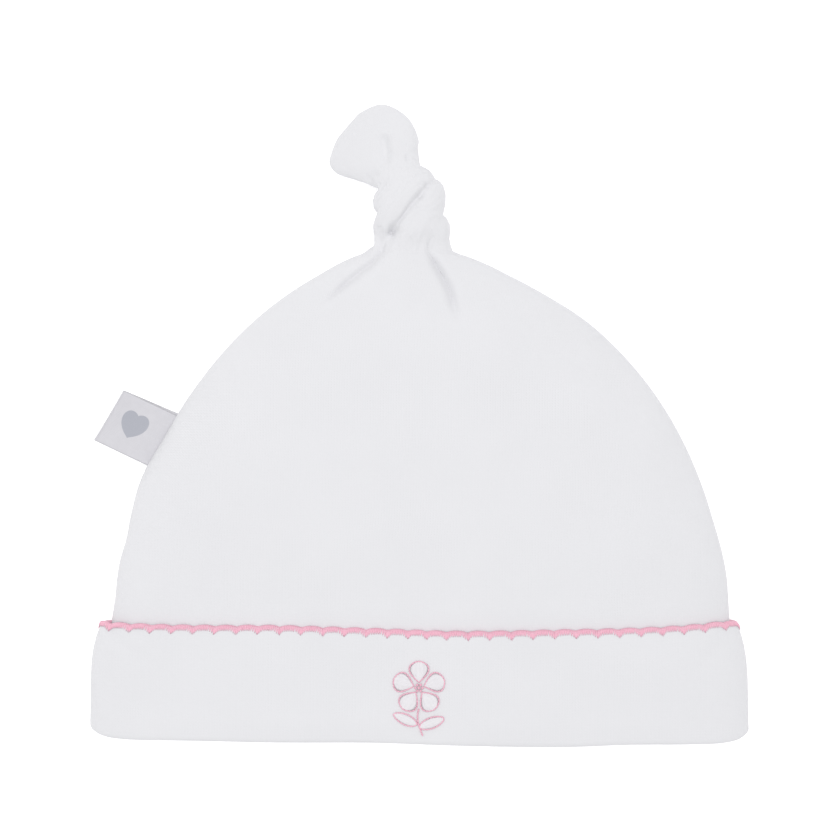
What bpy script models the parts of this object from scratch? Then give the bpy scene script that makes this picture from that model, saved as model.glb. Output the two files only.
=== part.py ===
"""Newborn hat of white cotton jersey with a knotted tip, lying flat on its back.

Units are metres and +Z is up. The front panel faces up, +Y runs from the turned-up mouth to the tip,
and +X is the right-hand side of the front panel. The hat lies on z = 0.
"""
import math
from collections import namedtuple

import bmesh
import bpy
from mathutils import Matrix, Vector

# Cloth walls, and the gap that is kept between two pieces
CROWN_WALL = 0.0012
CUFF_WALL = 0.0012
CLEARANCE = 0.0003

# The turned-up cuff, measured on the flat hat
CUFF_WIDTH = 0.165
CUFF_HEIGHT = 0.0263
CUFF_LOFT = 0.0135
EDGE_FLARE = 0.0008
MOUTH_FLARE = 0.0031
FOLD_BOW = 0.0014
FOLD_CORNER = 0.0036
FOLD_TILT = 0.0006
EDGE_BOW = 0.0035

# The crown, from the fold at the mouth to the neck under the knot
CROWN_HEIGHT = 0.1243
CROWN_LOFT = 0.0155
DOME_START = 0.0367
DOME_APEX = 0.1251
DOME_POWER = 1.75
NECK_WIDTH = 0.0068
COLLAR_WIDTH = 0.0150
COLLAR_DROP = 0.0004
SHOULDER_WIDTH = 0.0260
CROWN_SHIFT = 0.0006
CROWN_BOW = 0.0012

# The knot and the tip that leaves it
KNOT_WIDTH = 0.0188
KNOT_HEIGHT = 0.0201
KNOT_DEPTH = 0.0163
KNOT_SHIFT = -0.0021
TAIL_LENGTH = 0.0181
TAIL_WIDTH = 0.0218
TAIL_THICKNESS = 0.0066
TAIL_SEAM_THICKNESS = 0.0012

# The scalloped edging round the top of the cuff
EDGING_HEIGHT = 0.0012
EDGING_THICKNESS = 0.0011
SCALLOP_PITCH = 0.00535
SCALLOP_RISE = 0.0007

# The folded ribbon label in the left side seam
LABEL_WIDTH = 0.0145
LABEL_LENGTH = 0.0142
LABEL_RIBBON = 0.0004
LABEL_LOOP = 0.0003
LABEL_RISE = 0.0767
LABEL_TILT = math.radians(-4)
LABEL_SWING = math.radians(3.4)

# How finely the shapes are cut
COLUMNS = 40
DOME_RINGS = 13
CUFF_RINGS = 4
FOLD_STEPS = 4
STRAND_SIDES = 10
STRAND_RINGS = 84
TAIL_SIDES = 20
KNOT_GRAIN = 0.0009
SCALLOP_STEPS = 4

# The front of a section is domed and its back is flat up to the side fold
FRONT_POWER = 2.5
BACK_CORNER = 0.18

# How suddenly the edge's bow and the lifted corner of the fold come on towards the sides, and how suddenly
# the corner's lift and the flare of the mouth come on towards the fold
BOW_POWER = 3
CORNER_POWER = 20
CORNER_RISE_POWER = 3
FLARE_POWER = 4

# The side fold's height in the cuff as a share of CUFF_LOFT, the angle of the dome over which the bow dies
# out, and the share of the dome's height above which it leans over to the knot
CUFF_SIDE_FOLD = 0.25
BOW_FADE = math.radians(30)
LEAN_START = 2 / 3
LEAN_POWER = 2

# Sections of the dome: rise is a share of its height, and the others are heights above the floor
# as shares of CROWN_LOFT
Section = namedtuple("Section", "rise underside side_fold crest")
DOME_SECTIONS = [
    Section(rise=0.00, underside=0.02, side_fold=0.20, crest=0.90),
    Section(rise=0.15, underside=0.00, side_fold=0.20, crest=0.96),
    Section(rise=0.40, underside=0.00, side_fold=0.20, crest=1.00),
    Section(rise=0.65, underside=0.00, side_fold=0.22, crest=0.99),
    Section(rise=0.82, underside=0.02, side_fold=0.27, crest=0.94),
    Section(rise=0.92, underside=0.07, side_fold=0.34, crest=0.88),
    Section(rise=0.97, underside=0.15, side_fold=0.42, crest=0.83),
    Section(rise=1.00, underside=0.28, side_fold=0.53, crest=0.78),
]

# Creases that the knot pulls into the front: side is a share of the half width, depth of CROWN_LOFT,
# width of the half width, and length of CROWN_HEIGHT
Crease = namedtuple("Crease", "side depth width length")
CREASES = [
    Crease(side=-0.59, depth=0.14, width=0.08, length=0.16),
    Crease(side=0.31, depth=0.16, width=0.08, length=0.20),
]

# The overhand knot's route from the neck to the tip, in thicknesses of its strand: side is to the right,
# rise is up the hat, depth is towards the front, and girth is a share of the strand's thickness
Turn = namedtuple("Turn", "side rise depth girth")
KNOT_ROUTE = [
    Turn(side=-0.20, rise=-1.50, depth=0.05, girth=1.25),
    Turn(side=-0.16, rise=-0.85, depth=0.30, girth=1.12),
    Turn(side=-0.62, rise=-0.20, depth=-0.05, girth=1.0),
    Turn(side=-1.52, rise=0.45, depth=-0.42, girth=1.0),
    Turn(side=-1.05, rise=1.00, depth=-0.88, girth=1.0),
    Turn(side=-0.05, rise=1.05, depth=-1.05, girth=1.0),
    Turn(side=0.92, rise=0.72, depth=-0.80, girth=1.0),
    Turn(side=1.38, rise=0.42, depth=-0.10, girth=1.0),
    Turn(side=1.25, rise=0.85, depth=0.48, girth=1.0),
    Turn(side=0.70, rise=1.28, depth=0.72, girth=1.0),
    Turn(side=0.02, rise=0.98, depth=1.05, girth=1.0),
    Turn(side=-0.52, rise=0.35, depth=1.22, girth=1.0),
    Turn(side=-1.02, rise=-0.25, depth=1.02, girth=1.0),
    Turn(side=-1.50, rise=-0.82, depth=0.32, girth=1.0),
    Turn(side=-1.28, rise=-1.20, depth=-0.50, girth=1.0),
    Turn(side=-0.45, rise=-1.12, depth=-1.00, girth=1.0),
    Turn(side=0.36, rise=-1.08, depth=-0.98, girth=1.0),
    Turn(side=1.26, rise=-1.02, depth=-0.62, girth=1.0),
    Turn(side=1.64, rise=-0.70, depth=0.00, girth=1.0),
    Turn(side=0.92, rise=-0.12, depth=0.38, girth=1.0),
    Turn(side=0.42, rise=0.28, depth=0.30, girth=1.0),
    Turn(side=-0.10, rise=0.80, depth=0.05, girth=1.0),
    Turn(side=-0.45, rise=1.50, depth=0.25, girth=1.0),
]
STRAND_THICKNESS = 1.16

# Sections across the tip: along is a share of TAIL_LENGTH, lean is degrees to the left of straight up the
# hat, left and right are shares of TAIL_WIDTH, puff is a share of TAIL_THICKNESS, and the two edges' heights
# are shares of KNOT_DEPTH
Slice = namedtuple("Slice", "along lean left right puff left_edge right_edge")
TAIL_SLICES = [
    Slice(along=0.00, lean=22, left=0.12, right=0.12, puff=0.75, left_edge=0.57, right_edge=0.57),
    Slice(along=0.07, lean=36, left=0.21, right=0.24, puff=0.88, left_edge=0.53, right_edge=0.58),
    Slice(along=0.16, lean=48, left=0.36, right=0.41, puff=1.00, left_edge=0.45, right_edge=0.56),
    Slice(along=0.30, lean=48, left=0.41, right=0.49, puff=1.00, left_edge=0.34, right_edge=0.54),
    Slice(along=0.47, lean=48, left=0.46, right=0.53, puff=0.96, left_edge=0.27, right_edge=0.49),
    Slice(along=0.67, lean=48, left=0.49, right=0.51, puff=0.86, left_edge=0.20, right_edge=0.42),
    Slice(along=0.84, lean=48, left=0.46, right=0.44, puff=0.66, left_edge=0.18, right_edge=0.36),
    Slice(along=0.95, lean=48, left=0.35, right=0.33, puff=0.42, left_edge=0.17, right_edge=0.32),
    Slice(along=1.00, lean=48, left=0.22, right=0.22, puff=0.18, left_edge=0.17, right_edge=0.30),
]

# Heights up the hat, from the lowest point of the fold
FOLD_RADIUS = (CROWN_WALL + CLEARANCE + CUFF_WALL) / 2
RIM_RISE = FOLD_RADIUS + CLEARANCE
DOME_HEIGHT = DOME_APEX - DOME_START
CROWN_HALF_WIDTH = CUFF_WIDTH / 2 - CUFF_WALL - CLEARANCE - MOUTH_FLARE - EDGE_FLARE

# One ring of the crown: where it lies, how wide it is and how it is lofted
Ring = namedtuple("Ring", "rise bow corner tilt centre half_width underside side_fold crest crease_reach")


def blend(first, last, share):
    return first + (last - first) * share


def row_values(rows, key, value):
    """Read a table between its rows, by the column named key."""
    for low, high in zip(rows, rows[1:]):
        if value <= getattr(high, key):
            break
    share = (value - getattr(low, key)) / (getattr(high, key) - getattr(low, key))
    share = min(max(share, 0.0), 1.0)
    return type(low)(*(blend(a, b, share) for a, b in zip(low, high)))


def dome_half_width(rise):
    """Half width of the dome at a height above the fold, on a superellipse."""
    share = max(rise - DOME_START, 0.0) / DOME_HEIGHT
    return CROWN_HALF_WIDTH * max(1 - share ** DOME_POWER, 0.0) ** (1 / DOME_POWER)


def dome_centre(rise):
    """The dome leans from its own middle line to the knot's over its upper third."""
    share = max(rise - DOME_START, 0.0) / DOME_HEIGHT
    lean = max(share - LEAN_START, 0.0) / (1 - LEAN_START)
    return blend(CROWN_SHIFT, KNOT_SHIFT, lean ** LEAN_POWER)


def cuff_ring(share):
    """The crown's outer surface inside the cuff, from the rim (0) to the cuff's upper edge (1)."""
    bow = blend(FOLD_BOW, EDGE_BOW, share)
    corner = FOLD_CORNER * (1 - share) ** CORNER_RISE_POWER
    rise = blend(RIM_RISE, CUFF_HEIGHT, share)
    top = CUFF_HEIGHT + EDGE_BOW
    down = (top - rise - bow - corner) / (top - RIM_RISE - FOLD_BOW - FOLD_CORNER)
    flare = EDGE_FLARE + MOUTH_FLARE * (1 - (1 - down) ** FLARE_POWER)
    lining = CUFF_WALL + CLEARANCE
    first_dome = DOME_SECTIONS[0]
    rim_crest = CUFF_LOFT - lining
    return Ring(
        rise=rise,
        bow=bow,
        corner=corner,
        tilt=FOLD_TILT * (1 - share),
        centre=CROWN_SHIFT * share / 2,
        half_width=CROWN_HALF_WIDTH + flare,
        underside=lining,
        side_fold=blend(CUFF_LOFT * CUFF_SIDE_FOLD, CROWN_LOFT * first_dome.side_fold, share),
        crest=blend(rim_crest, rim_crest + CUFF_WALL / 2, share),
        crease_reach=CROWN_HEIGHT - rise,
    )


def dome_ring(angle):
    """A ring of the dome, by the superellipse's own angle: 0 at its base, 90 degrees at its top."""
    power = 2 / DOME_POWER
    rise = DOME_START + DOME_HEIGHT * math.sin(angle) ** power
    section = row_values(DOME_SECTIONS, "rise", math.sin(angle) ** power)
    fade = min(angle / BOW_FADE, 1.0)
    return Ring(
        rise=rise,
        bow=CROWN_BOW * math.cos(fade * math.pi / 2),
        corner=0.0,
        tilt=0.0,
        centre=dome_centre(rise),
        half_width=CROWN_HALF_WIDTH * math.cos(angle) ** power,
        underside=section.underside * CROWN_LOFT,
        side_fold=section.side_fold * CROWN_LOFT,
        crest=section.crest * CROWN_LOFT,
        crease_reach=CROWN_HEIGHT - rise,
    )


def crease_depth(ring, across):
    depth = 0.0
    for crease in CREASES:
        fade = 1 - ring.crease_reach / (crease.length * CROWN_HEIGHT)
        if fade > 0:
            nearness = (across - crease.side) / crease.width
            depth += crease.depth * CROWN_LOFT * math.sqrt(fade) * math.exp(-nearness ** 2)
    return depth


def ring_point(ring, turn, lift=0.0, shift=0.0):
    """A point of a ring: turn goes round the hat, lift is outwards from the cloth and shift is up the hat."""
    across = math.cos(turn)
    share = min(abs(across), 1.0)
    x = ring.centre + math.copysign((ring.half_width + lift) * share, across)
    y = ring.rise + shift + ring.bow * share ** BOW_POWER + ring.corner * share ** CORNER_POWER
    y -= ring.tilt * across
    if math.sin(turn) >= 0:
        fullness = (1 - share ** FRONT_POWER) ** (1 / FRONT_POWER)
        z = ring.side_fold + (ring.crest + lift - ring.side_fold) * fullness
        z -= crease_depth(ring, across) * fullness
    else:
        into_corner = max(share - 1 + BACK_CORNER, 0.0) / BACK_CORNER
        fullness = math.sqrt(max(1 - into_corner ** 2, 0.0))
        z = ring.side_fold - (ring.side_fold - ring.underside + lift) * fullness
    return Vector((x, y, z))


def ring_points(ring, lift=0.0, shift=0.0):
    return [ring_point(ring, 2 * math.pi * k / COLUMNS, lift, shift) for k in range(COLUMNS)]


def loft(name, rings, round_again=False, close_start=False, close_end=False):
    """A mesh through rings of equally many points. round_again joins the last ring to the first."""
    sheet = bmesh.new()
    loops = [[sheet.verts.new(point) for point in ring] for ring in rings]
    pairs = list(zip(loops, loops[1:]))
    if round_again:
        pairs.append((loops[-1], loops[0]))
    count = len(rings[0])
    for low, high in pairs:
        for k in range(count):
            after = (k + 1) % count
            sheet.faces.new((low[k], low[after], high[after], high[k]))
    if close_start:
        sheet.faces.new(loops[0])
    if close_end:
        sheet.faces.new(loops[-1])
    bmesh.ops.recalc_face_normals(sheet, faces=sheet.faces)
    mesh = bpy.data.meshes.new(name)
    sheet.to_mesh(mesh)
    sheet.free()
    return mesh


def add_part(collection, name, mesh, material, sharp_angle=math.radians(50)):
    mesh.shade_smooth()
    mesh.set_sharp_from_angle(angle=sharp_angle)
    mesh.materials.append(material)
    part = bpy.data.objects.new(name, mesh)
    collection.objects.link(part)
    return part


def make_material(name, colour, roughness):
    material = bpy.data.materials.new(name)
    material.use_nodes = True
    shader = material.node_tree.nodes["Principled BSDF"]
    shader.inputs["Base Color"].default_value = (*colour, 1)
    shader.inputs["Roughness"].default_value = roughness
    shader.inputs["Metallic"].default_value = 0
    return material


def make_crown(collection, material):
    """The single-cloth bag: down its outer surface from the neck to the rim, and back up inside the cloth."""
    rings = [cuff_ring(k / CUFF_RINGS) for k in range(CUFF_RINGS + 1)]
    edging = EDGING_HEIGHT + SCALLOP_RISE + 2 * CLEARANCE
    rings.append(rings[-1]._replace(rise=CUFF_HEIGHT + edging))
    last_angle = math.acos((SHOULDER_WIDTH / 2 / CROWN_HALF_WIDTH) ** (DOME_POWER / 2))
    rings += [dome_ring(last_angle * k / DOME_RINGS) for k in range(DOME_RINGS + 1)]
    shoulder = rings[-1]
    neck_middle = (shoulder.underside + shoulder.crest) / 2
    neck = shoulder._replace(
        rise=CROWN_HEIGHT,
        centre=KNOT_SHIFT,
        half_width=NECK_WIDTH / 2,
        underside=neck_middle - NECK_WIDTH / 2,
        side_fold=neck_middle,
        crest=neck_middle + NECK_WIDTH / 2,
        crease_reach=0.0,
    )
    inwards = (SHOULDER_WIDTH - COLLAR_WIDTH) / (SHOULDER_WIDTH - NECK_WIDTH)
    collar = Ring(*(blend(a, b, inwards) for a, b in zip(shoulder, neck)))
    rings += [collar._replace(rise=CROWN_HEIGHT - COLLAR_DROP), neck]
    loops = [ring_points(ring) for ring in reversed(rings)]
    loops += [ring_points(ring, lift=-CROWN_WALL) for ring in rings[:-1]]
    loops.append(ring_points(rings[-1], lift=-CROWN_WALL, shift=-CROWN_WALL))
    mesh = loft("crown", loops, close_start=True, close_end=True)
    return add_part(collection, "crown", mesh, material)


def make_cuff(collection, material):
    """The turned-up band: its outer leg, the round fold at the mouth, and the end at the crown's rim."""
    inner = CLEARANCE
    outer = CLEARANCE + CUFF_WALL
    middle = (outer - CROWN_WALL) / 2
    rings = [(cuff_ring(k / CUFF_RINGS), outer, 0.0) for k in reversed(range(CUFF_RINGS + 1))]
    rim = cuff_ring(0)
    for step in range(FOLD_STEPS + 1):
        angle = math.pi * step / FOLD_STEPS
        lift = middle + FOLD_RADIUS * math.cos(angle)
        rings.append((rim, lift, -CLEARANCE - FOLD_RADIUS * math.sin(angle)))
    rings.append((rim, 0.0, -CLEARANCE))
    rings += [(cuff_ring(k / CUFF_RINGS), inner, 0.0) for k in range(CUFF_RINGS + 1)]
    loops = [ring_points(ring, lift, shift) for ring, lift, shift in rings]
    mesh = loft("cuff", loops, round_again=True)
    return add_part(collection, "cuff", mesh, material)


def even_loop(ring, lift, count):
    """Points round a ring at equal distances, each with the share of the way round that it lies at."""
    fine = 16 * COLUMNS
    points = [ring_point(ring, 2 * math.pi * k / fine, lift) for k in range(fine + 1)]
    lengths = [0.0]
    for before, after in zip(points, points[1:]):
        lengths.append(lengths[-1] + (after - before).length)
    turns = []
    k = 0
    for step in range(count):
        wanted = lengths[-1] * step / count
        while lengths[k + 1] < wanted:
            k += 1
        share = (wanted - lengths[k]) / (lengths[k + 1] - lengths[k])
        turns.append(2 * math.pi * (k + share) / fine)
    return turns, lengths[-1]


def make_scallop_trim(collection, material):
    """The edging stands on the cuff's edge and arches up between the points where it is stitched down."""
    edge = cuff_ring(1)
    middle = CLEARANCE + CUFF_WALL / 2
    length = even_loop(edge, middle, 1)[1]
    scallops = round(length / SCALLOP_PITCH)
    turns = even_loop(edge, middle, scallops * SCALLOP_STEPS)[0]
    corners = [(-0.5, 0.0), (0.5, 0.0), (0.5, 1.0), (-0.5, 1.0)]
    loops = []
    for across, up in corners:
        loop = []
        for k, turn in enumerate(turns):
            arch = math.sin(math.pi * k / SCALLOP_STEPS) ** 2
            shift = CLEARANCE + up * EDGING_HEIGHT + SCALLOP_RISE * arch
            loop.append(ring_point(edge, turn, middle + across * EDGING_THICKNESS, shift))
        loops.append(loop)
    mesh = loft("scallop_trim", loops, round_again=True)
    return add_part(collection, "scallop_trim", mesh, material)


def smooth_route(rows, count):
    """A uniform cubic B-spline along the rows of a table, as count + 1 rows."""
    first = [2 * a - b for a, b in zip(rows[0], rows[1])]
    last = [2 * a - b for a, b in zip(rows[-1], rows[-2])]
    guides = [first, *rows, last]
    spans = len(rows) - 1
    route = []
    for k in range(count + 1):
        place = spans * k / count
        span = min(int(place), spans - 1)
        t = place - span
        weights = (
            (1 - t) ** 3 / 6,
            (3 * t ** 3 - 6 * t ** 2 + 4) / 6,
            (-3 * t ** 3 + 3 * t ** 2 + 3 * t + 1) / 6,
            t ** 3 / 6,
        )
        near = guides[span:span + 4]
        columns = range(len(Turn._fields))
        route.append(Turn(*(sum(w * row[c] for w, row in zip(weights, near)) for c in columns)))
    return route


def knot_loops():
    """Rings round the knot's strand, swept along its route and then scaled to the knot's three sizes."""
    route = smooth_route(KNOT_ROUTE, STRAND_RINGS)
    centres = [Vector((row.side, row.rise, row.depth)) for row in route]
    loops = []
    direction = (centres[1] - centres[0]).normalized()
    spoke = direction.orthogonal().normalized()
    for k, (centre, row) in enumerate(zip(centres, route)):
        ahead = centres[min(k + 1, len(centres) - 1)]
        behind = centres[max(k - 1, 0)]
        new_direction = (ahead - behind).normalized()
        spoke.rotate(direction.rotation_difference(new_direction))
        direction = new_direction
        radius = row.girth * STRAND_THICKNESS / 2
        loop = []
        for side in range(STRAND_SIDES):
            turned = Matrix.Rotation(2 * math.pi * side / STRAND_SIDES, 3, direction) @ spoke
            loop.append(centre + turned * radius)
        loops.append(loop)
    points = [point for loop in loops for point in loop]
    low = Vector([min(point[axis] for point in points) for axis in range(3)])
    high = Vector([max(point[axis] for point in points) for axis in range(3)])
    size = Vector((KNOT_WIDTH, KNOT_HEIGHT, KNOT_DEPTH))
    corner = Vector((KNOT_SHIFT - KNOT_WIDTH / 2, CROWN_HEIGHT + CLEARANCE, CLEARANCE / 2))
    scale = Matrix.Diagonal([size[axis] / (high[axis] - low[axis]) for axis in range(3)])
    return [[corner + scale @ (point - low) for point in loop] for loop in loops]


def make_knot(collection, material):
    """The strand's passes press into each other, so they are fused into one lumpy body."""
    mesh = loft("knot", knot_loops(), close_start=True, close_end=True)
    knot = add_part(collection, "knot", mesh, material)
    fuse = knot.modifiers.new("pressed together", "REMESH")
    fuse.mode = "VOXEL"
    fuse.voxel_size = KNOT_GRAIN
    fuse.use_smooth_shade = True
    return knot


def middle_of(points):
    return sum(points, Vector()) / len(points)


def make_tail(collection, material):
    """The puffed tip: slices across it from the knot's last ring to the sewn end, which droops left."""
    loops = knot_loops()
    base = middle_of(loops[-1])
    leaving = (base - middle_of(loops[-2])).normalized()
    spine = base + leaving * 3 * CLEARANCE
    before = 0.0
    rings = []
    for piece in TAIL_SLICES:
        lean = math.radians(piece.lean)
        ahead = Vector((-math.sin(lean), math.cos(lean), 0))
        rightwards = Vector((math.cos(lean), math.sin(lean), 0))
        spine = spine + ahead * (piece.along - before) * TAIL_LENGTH
        before = piece.along
        middle = (piece.right - piece.left) / 2 * TAIL_WIDTH
        reach = (piece.right + piece.left) / 2 * TAIL_WIDTH
        puff = blend(TAIL_SEAM_THICKNESS, TAIL_THICKNESS, piece.puff) / 2
        height = (piece.left_edge + piece.right_edge) / 2 * KNOT_DEPTH
        slope = (piece.right_edge - piece.left_edge) / 2 * KNOT_DEPTH
        ring = []
        for side in range(TAIL_SIDES):
            turn = 2 * math.pi * side / TAIL_SIDES
            point = spine + rightwards * (middle + reach * math.cos(turn))
            point.z = height + slope * math.cos(turn) + puff * math.sin(turn)
            ring.append(point)
        rings.append(ring)
    mesh = loft("tail", rings, close_start=True, close_end=True)
    return add_part(collection, "tail", mesh, material)


def label_profile():
    """Outline of the folded ribbon from its side: two layers that are joined by a round fold."""
    inner = LABEL_LOOP / 2
    outer = inner + LABEL_RIBBON
    fold = LABEL_LENGTH - outer
    angles = [math.pi * (k / FOLD_STEPS - 0.5) for k in range(FOLD_STEPS + 1)]
    outside = [(fold + outer * math.cos(angle), outer * math.sin(angle)) for angle in angles]
    inside = [(fold + inner * math.cos(angle), inner * math.sin(angle)) for angle in reversed(angles)]
    return [(0, -outer), *outside, (0, outer), (0, inner), *inside, (0, -inner)]


def make_side_label(collection, material):
    """The label stands square to the crown's left edge, at the height of the side fold."""
    here = Vector((dome_centre(LABEL_RISE) - dome_half_width(LABEL_RISE), LABEL_RISE, 0))
    above = LABEL_RISE + CLEARANCE
    there = Vector((dome_centre(above) - dome_half_width(above), above, 0))
    along = (there - here).normalized()
    outwards = Vector((-along.y, along.x, 0))
    section = row_values(DOME_SECTIONS, "rise", (LABEL_RISE - DOME_START) / DOME_HEIGHT)
    root = here + outwards * (CLEARANCE + LABEL_WIDTH / 2 * math.sin(LABEL_SWING))
    root.z = section.side_fold * CROWN_LOFT
    sheet = bmesh.new()
    corners = [sheet.verts.new((out, -LABEL_WIDTH / 2, up)) for out, up in label_profile()]
    side = sheet.faces.new(corners)
    extruded = bmesh.ops.extrude_face_region(sheet, geom=[side])
    moved = [item for item in extruded["geom"] if isinstance(item, bmesh.types.BMVert)]
    bmesh.ops.translate(sheet, verts=moved, vec=(0, LABEL_WIDTH, 0))
    bmesh.ops.recalc_face_normals(sheet, faces=sheet.faces)
    mesh = bpy.data.meshes.new("side_label")
    sheet.to_mesh(mesh)
    sheet.free()
    label = add_part(collection, "side_label", mesh, material)
    heading = Matrix((outwards, outwards.cross(Vector((0, 0, -1))), Vector((0, 0, 1)))).transposed()
    swing = Matrix.Rotation(LABEL_SWING, 4, "Z")
    tilt = Matrix.Rotation(-LABEL_TILT, 4, "Y")
    label.matrix_world = Matrix.Translation(root) @ swing @ heading.to_4x4() @ tilt
    return label


def centre_on_floor(parts):
    """Move the parts together so that the origin lies under the middle of their box."""
    bpy.context.view_layer.update()
    corners = [part.matrix_world @ Vector(corner) for part in parts for corner in part.bound_box]
    low = Vector([min(corner[axis] for corner in corners) for axis in range(3)])
    high = Vector([max(corner[axis] for corner in corners) for axis in range(3)])
    middle = Vector(((low.x + high.x) / 2, (low.y + high.y) / 2, 0))
    for part in parts:
        part.location -= middle


def main():
    for old in list(bpy.data.objects):
        bpy.data.objects.remove(old, do_unlink=True)
    collection = bpy.data.collections.new("newborn_hat")
    bpy.context.scene.collection.children.link(collection)
    jersey = make_material("white cotton jersey", (0.80, 0.80, 0.83), 0.9)
    pink_thread = make_material("pink edging thread", (0.85, 0.33, 0.42), 0.6)
    ribbon = make_material("grey woven ribbon", (0.62, 0.63, 0.68), 0.6)
    parts = [
        make_crown(collection, jersey),
        make_cuff(collection, jersey),
        make_knot(collection, jersey),
        make_tail(collection, jersey),
        make_scallop_trim(collection, pink_thread),
        make_side_label(collection, ribbon),
    ]
    centre_on_floor(parts)


main()
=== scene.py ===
import random
from collections import namedtuple
from itertools import accumulate, pairwise
from math import acos, asin, ceil, copysign, cos, dist, exp, hypot, inf, pi, radians, sin, sqrt, tan, tanh

import bmesh
import bpy
from mathutils import Matrix, Vector, noise
from mathutils.bvhtree import BVHTree


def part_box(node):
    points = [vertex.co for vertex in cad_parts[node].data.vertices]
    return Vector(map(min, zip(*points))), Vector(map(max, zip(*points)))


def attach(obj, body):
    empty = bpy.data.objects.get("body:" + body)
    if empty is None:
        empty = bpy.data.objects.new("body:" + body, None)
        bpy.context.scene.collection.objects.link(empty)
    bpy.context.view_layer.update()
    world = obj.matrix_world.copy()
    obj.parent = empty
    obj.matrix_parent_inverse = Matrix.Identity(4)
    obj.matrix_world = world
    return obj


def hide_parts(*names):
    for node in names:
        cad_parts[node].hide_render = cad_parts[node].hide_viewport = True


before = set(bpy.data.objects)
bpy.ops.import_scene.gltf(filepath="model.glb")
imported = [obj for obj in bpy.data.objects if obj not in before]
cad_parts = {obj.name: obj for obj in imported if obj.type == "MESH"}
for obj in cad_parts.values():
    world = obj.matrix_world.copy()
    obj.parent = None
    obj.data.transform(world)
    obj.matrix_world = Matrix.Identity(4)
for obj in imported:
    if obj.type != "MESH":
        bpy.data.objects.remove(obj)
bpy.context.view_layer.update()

MM = 0.001
UP = Vector((0, 0, 1))
DOWN = Vector((0, 0, -1))

# Cloth and the hat's own sizes, as its solids have them
CLOTH = 1.1 * MM
CROWN_WALL = 1.2 * MM
CUFF_WALL = 1.2 * MM
CLEARANCE = 0.3 * MM
CUFF_WIDTH = 165.0 * MM
CUFF_HEIGHT = 26.3 * MM
CUFF_LOFT = 13.5 * MM
EDGE_FLARE = 0.8 * MM
MOUTH_FLARE = 3.1 * MM
FOLD_BOW = 1.4 * MM
FOLD_CORNER = 3.6 * MM
FOLD_TILT = 0.6 * MM
EDGE_BOW = 3.5 * MM
CROWN_HEIGHT = 124.3 * MM
CROWN_LOFT = 15.5 * MM
DOME_START = 36.7 * MM
DOME_APEX = 125.1 * MM
DOME_POWER = 1.75
SHOULDER_WIDTH = 26.0 * MM
CROWN_SHIFT = 0.6 * MM
CROWN_BOW = 1.2 * MM
KNOT_SHIFT = -2.1 * MM
SHOULDER_RISE = 117.0 * MM
SHOULDER_FILL = 1.1 * MM
KNOT_DEPTH = 16.3 * MM
TAIL_LENGTH = 18.1 * MM
TAIL_WIDTH = 21.8 * MM
TAIL_THICKNESS = 6.6 * MM
TAIL_SEAM_THICKNESS = 1.2 * MM
LABEL_WIDTH = 14.5 * MM
LABEL_LENGTH = 14.2 * MM
LABEL_RISE = 76.7 * MM
LABEL_TILT = radians(-4)
LABEL_SWING = radians(3.4)
SCALLOP_PITCH = 5.35 * MM
SCALLOP_RISE = 0.7 * MM
FRONT_POWER = 2.5
BACK_CORNER = 0.18
BOW_POWER = 3
CORNER_POWER = 20
CORNER_RISE_POWER = 3
FLARE_POWER = 4
CUFF_SIDE_FOLD = 0.25
BOW_FADE = radians(30)
LEAN_START = 2 / 3
LEAN_POWER = 2

RIM_RISE = (CROWN_WALL + CLEARANCE + CUFF_WALL) / 2 + CLEARANCE
DOME_HEIGHT = DOME_APEX - DOME_START
CROWN_HALF_WIDTH = CUFF_WIDTH / 2 - CUFF_WALL - CLEARANCE - MOUTH_FLARE - EDGE_FLARE
TOP_SHARE = (1 - (SHOULDER_WIDTH / 2 / CROWN_HALF_WIDTH) ** DOME_POWER) ** (1 / DOME_POWER)
TOP_RISE = DOME_START + DOME_HEIGHT * TOP_SHARE

# The hat's own origin lies at the fold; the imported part's lies under the middle of its box
cuff_low, cuff_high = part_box("cuff")
HAT_ORIGIN = Vector(((cuff_low.x + cuff_high.x) / 2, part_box("crown")[1].y - CROWN_HEIGHT, 0))


def table(kind, *rows):
    """The rows of a table, whose columns are the kind's own fields."""
    return [kind(*row) for row in rows]


Section = namedtuple("Section", "rise underside side_fold crest")
DOME_SECTIONS = table(
    Section,
    (0.00, 0.02, 0.20, 0.90),
    (0.15, 0.00, 0.20, 0.96),
    (0.40, 0.00, 0.20, 1.00),
    (0.65, 0.00, 0.22, 0.99),
    (0.82, 0.02, 0.27, 0.94),
    (0.92, 0.07, 0.34, 0.88),
    (0.97, 0.15, 0.42, 0.83),
    (1.00, 0.28, 0.53, 0.78),
)

Ring = namedtuple("Ring", "rise bow corner tilt centre half_width underside side_fold crest")

# The gathered neck above the dome, which runs up into the knot: millimetres in the hat's own frame
Neck = namedtuple("Neck", "rise side half_width height half_depth")
NECK_RINGS = table(
    Neck,
    (124.3, -2.8, 9.5, 7.4, 4.6),
    (125.3, -3.1, 7.7, 7.0, 4.3),
    (126.4, -3.2, 6.2, 6.8, 4.0),
    (128.0, -2.6, 5.0, 6.8, 3.8),
    (130.0, -1.9, 4.4, 7.0, 3.6),
    (132.5, -0.6, 4.0, 7.4, 3.4),
)

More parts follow.
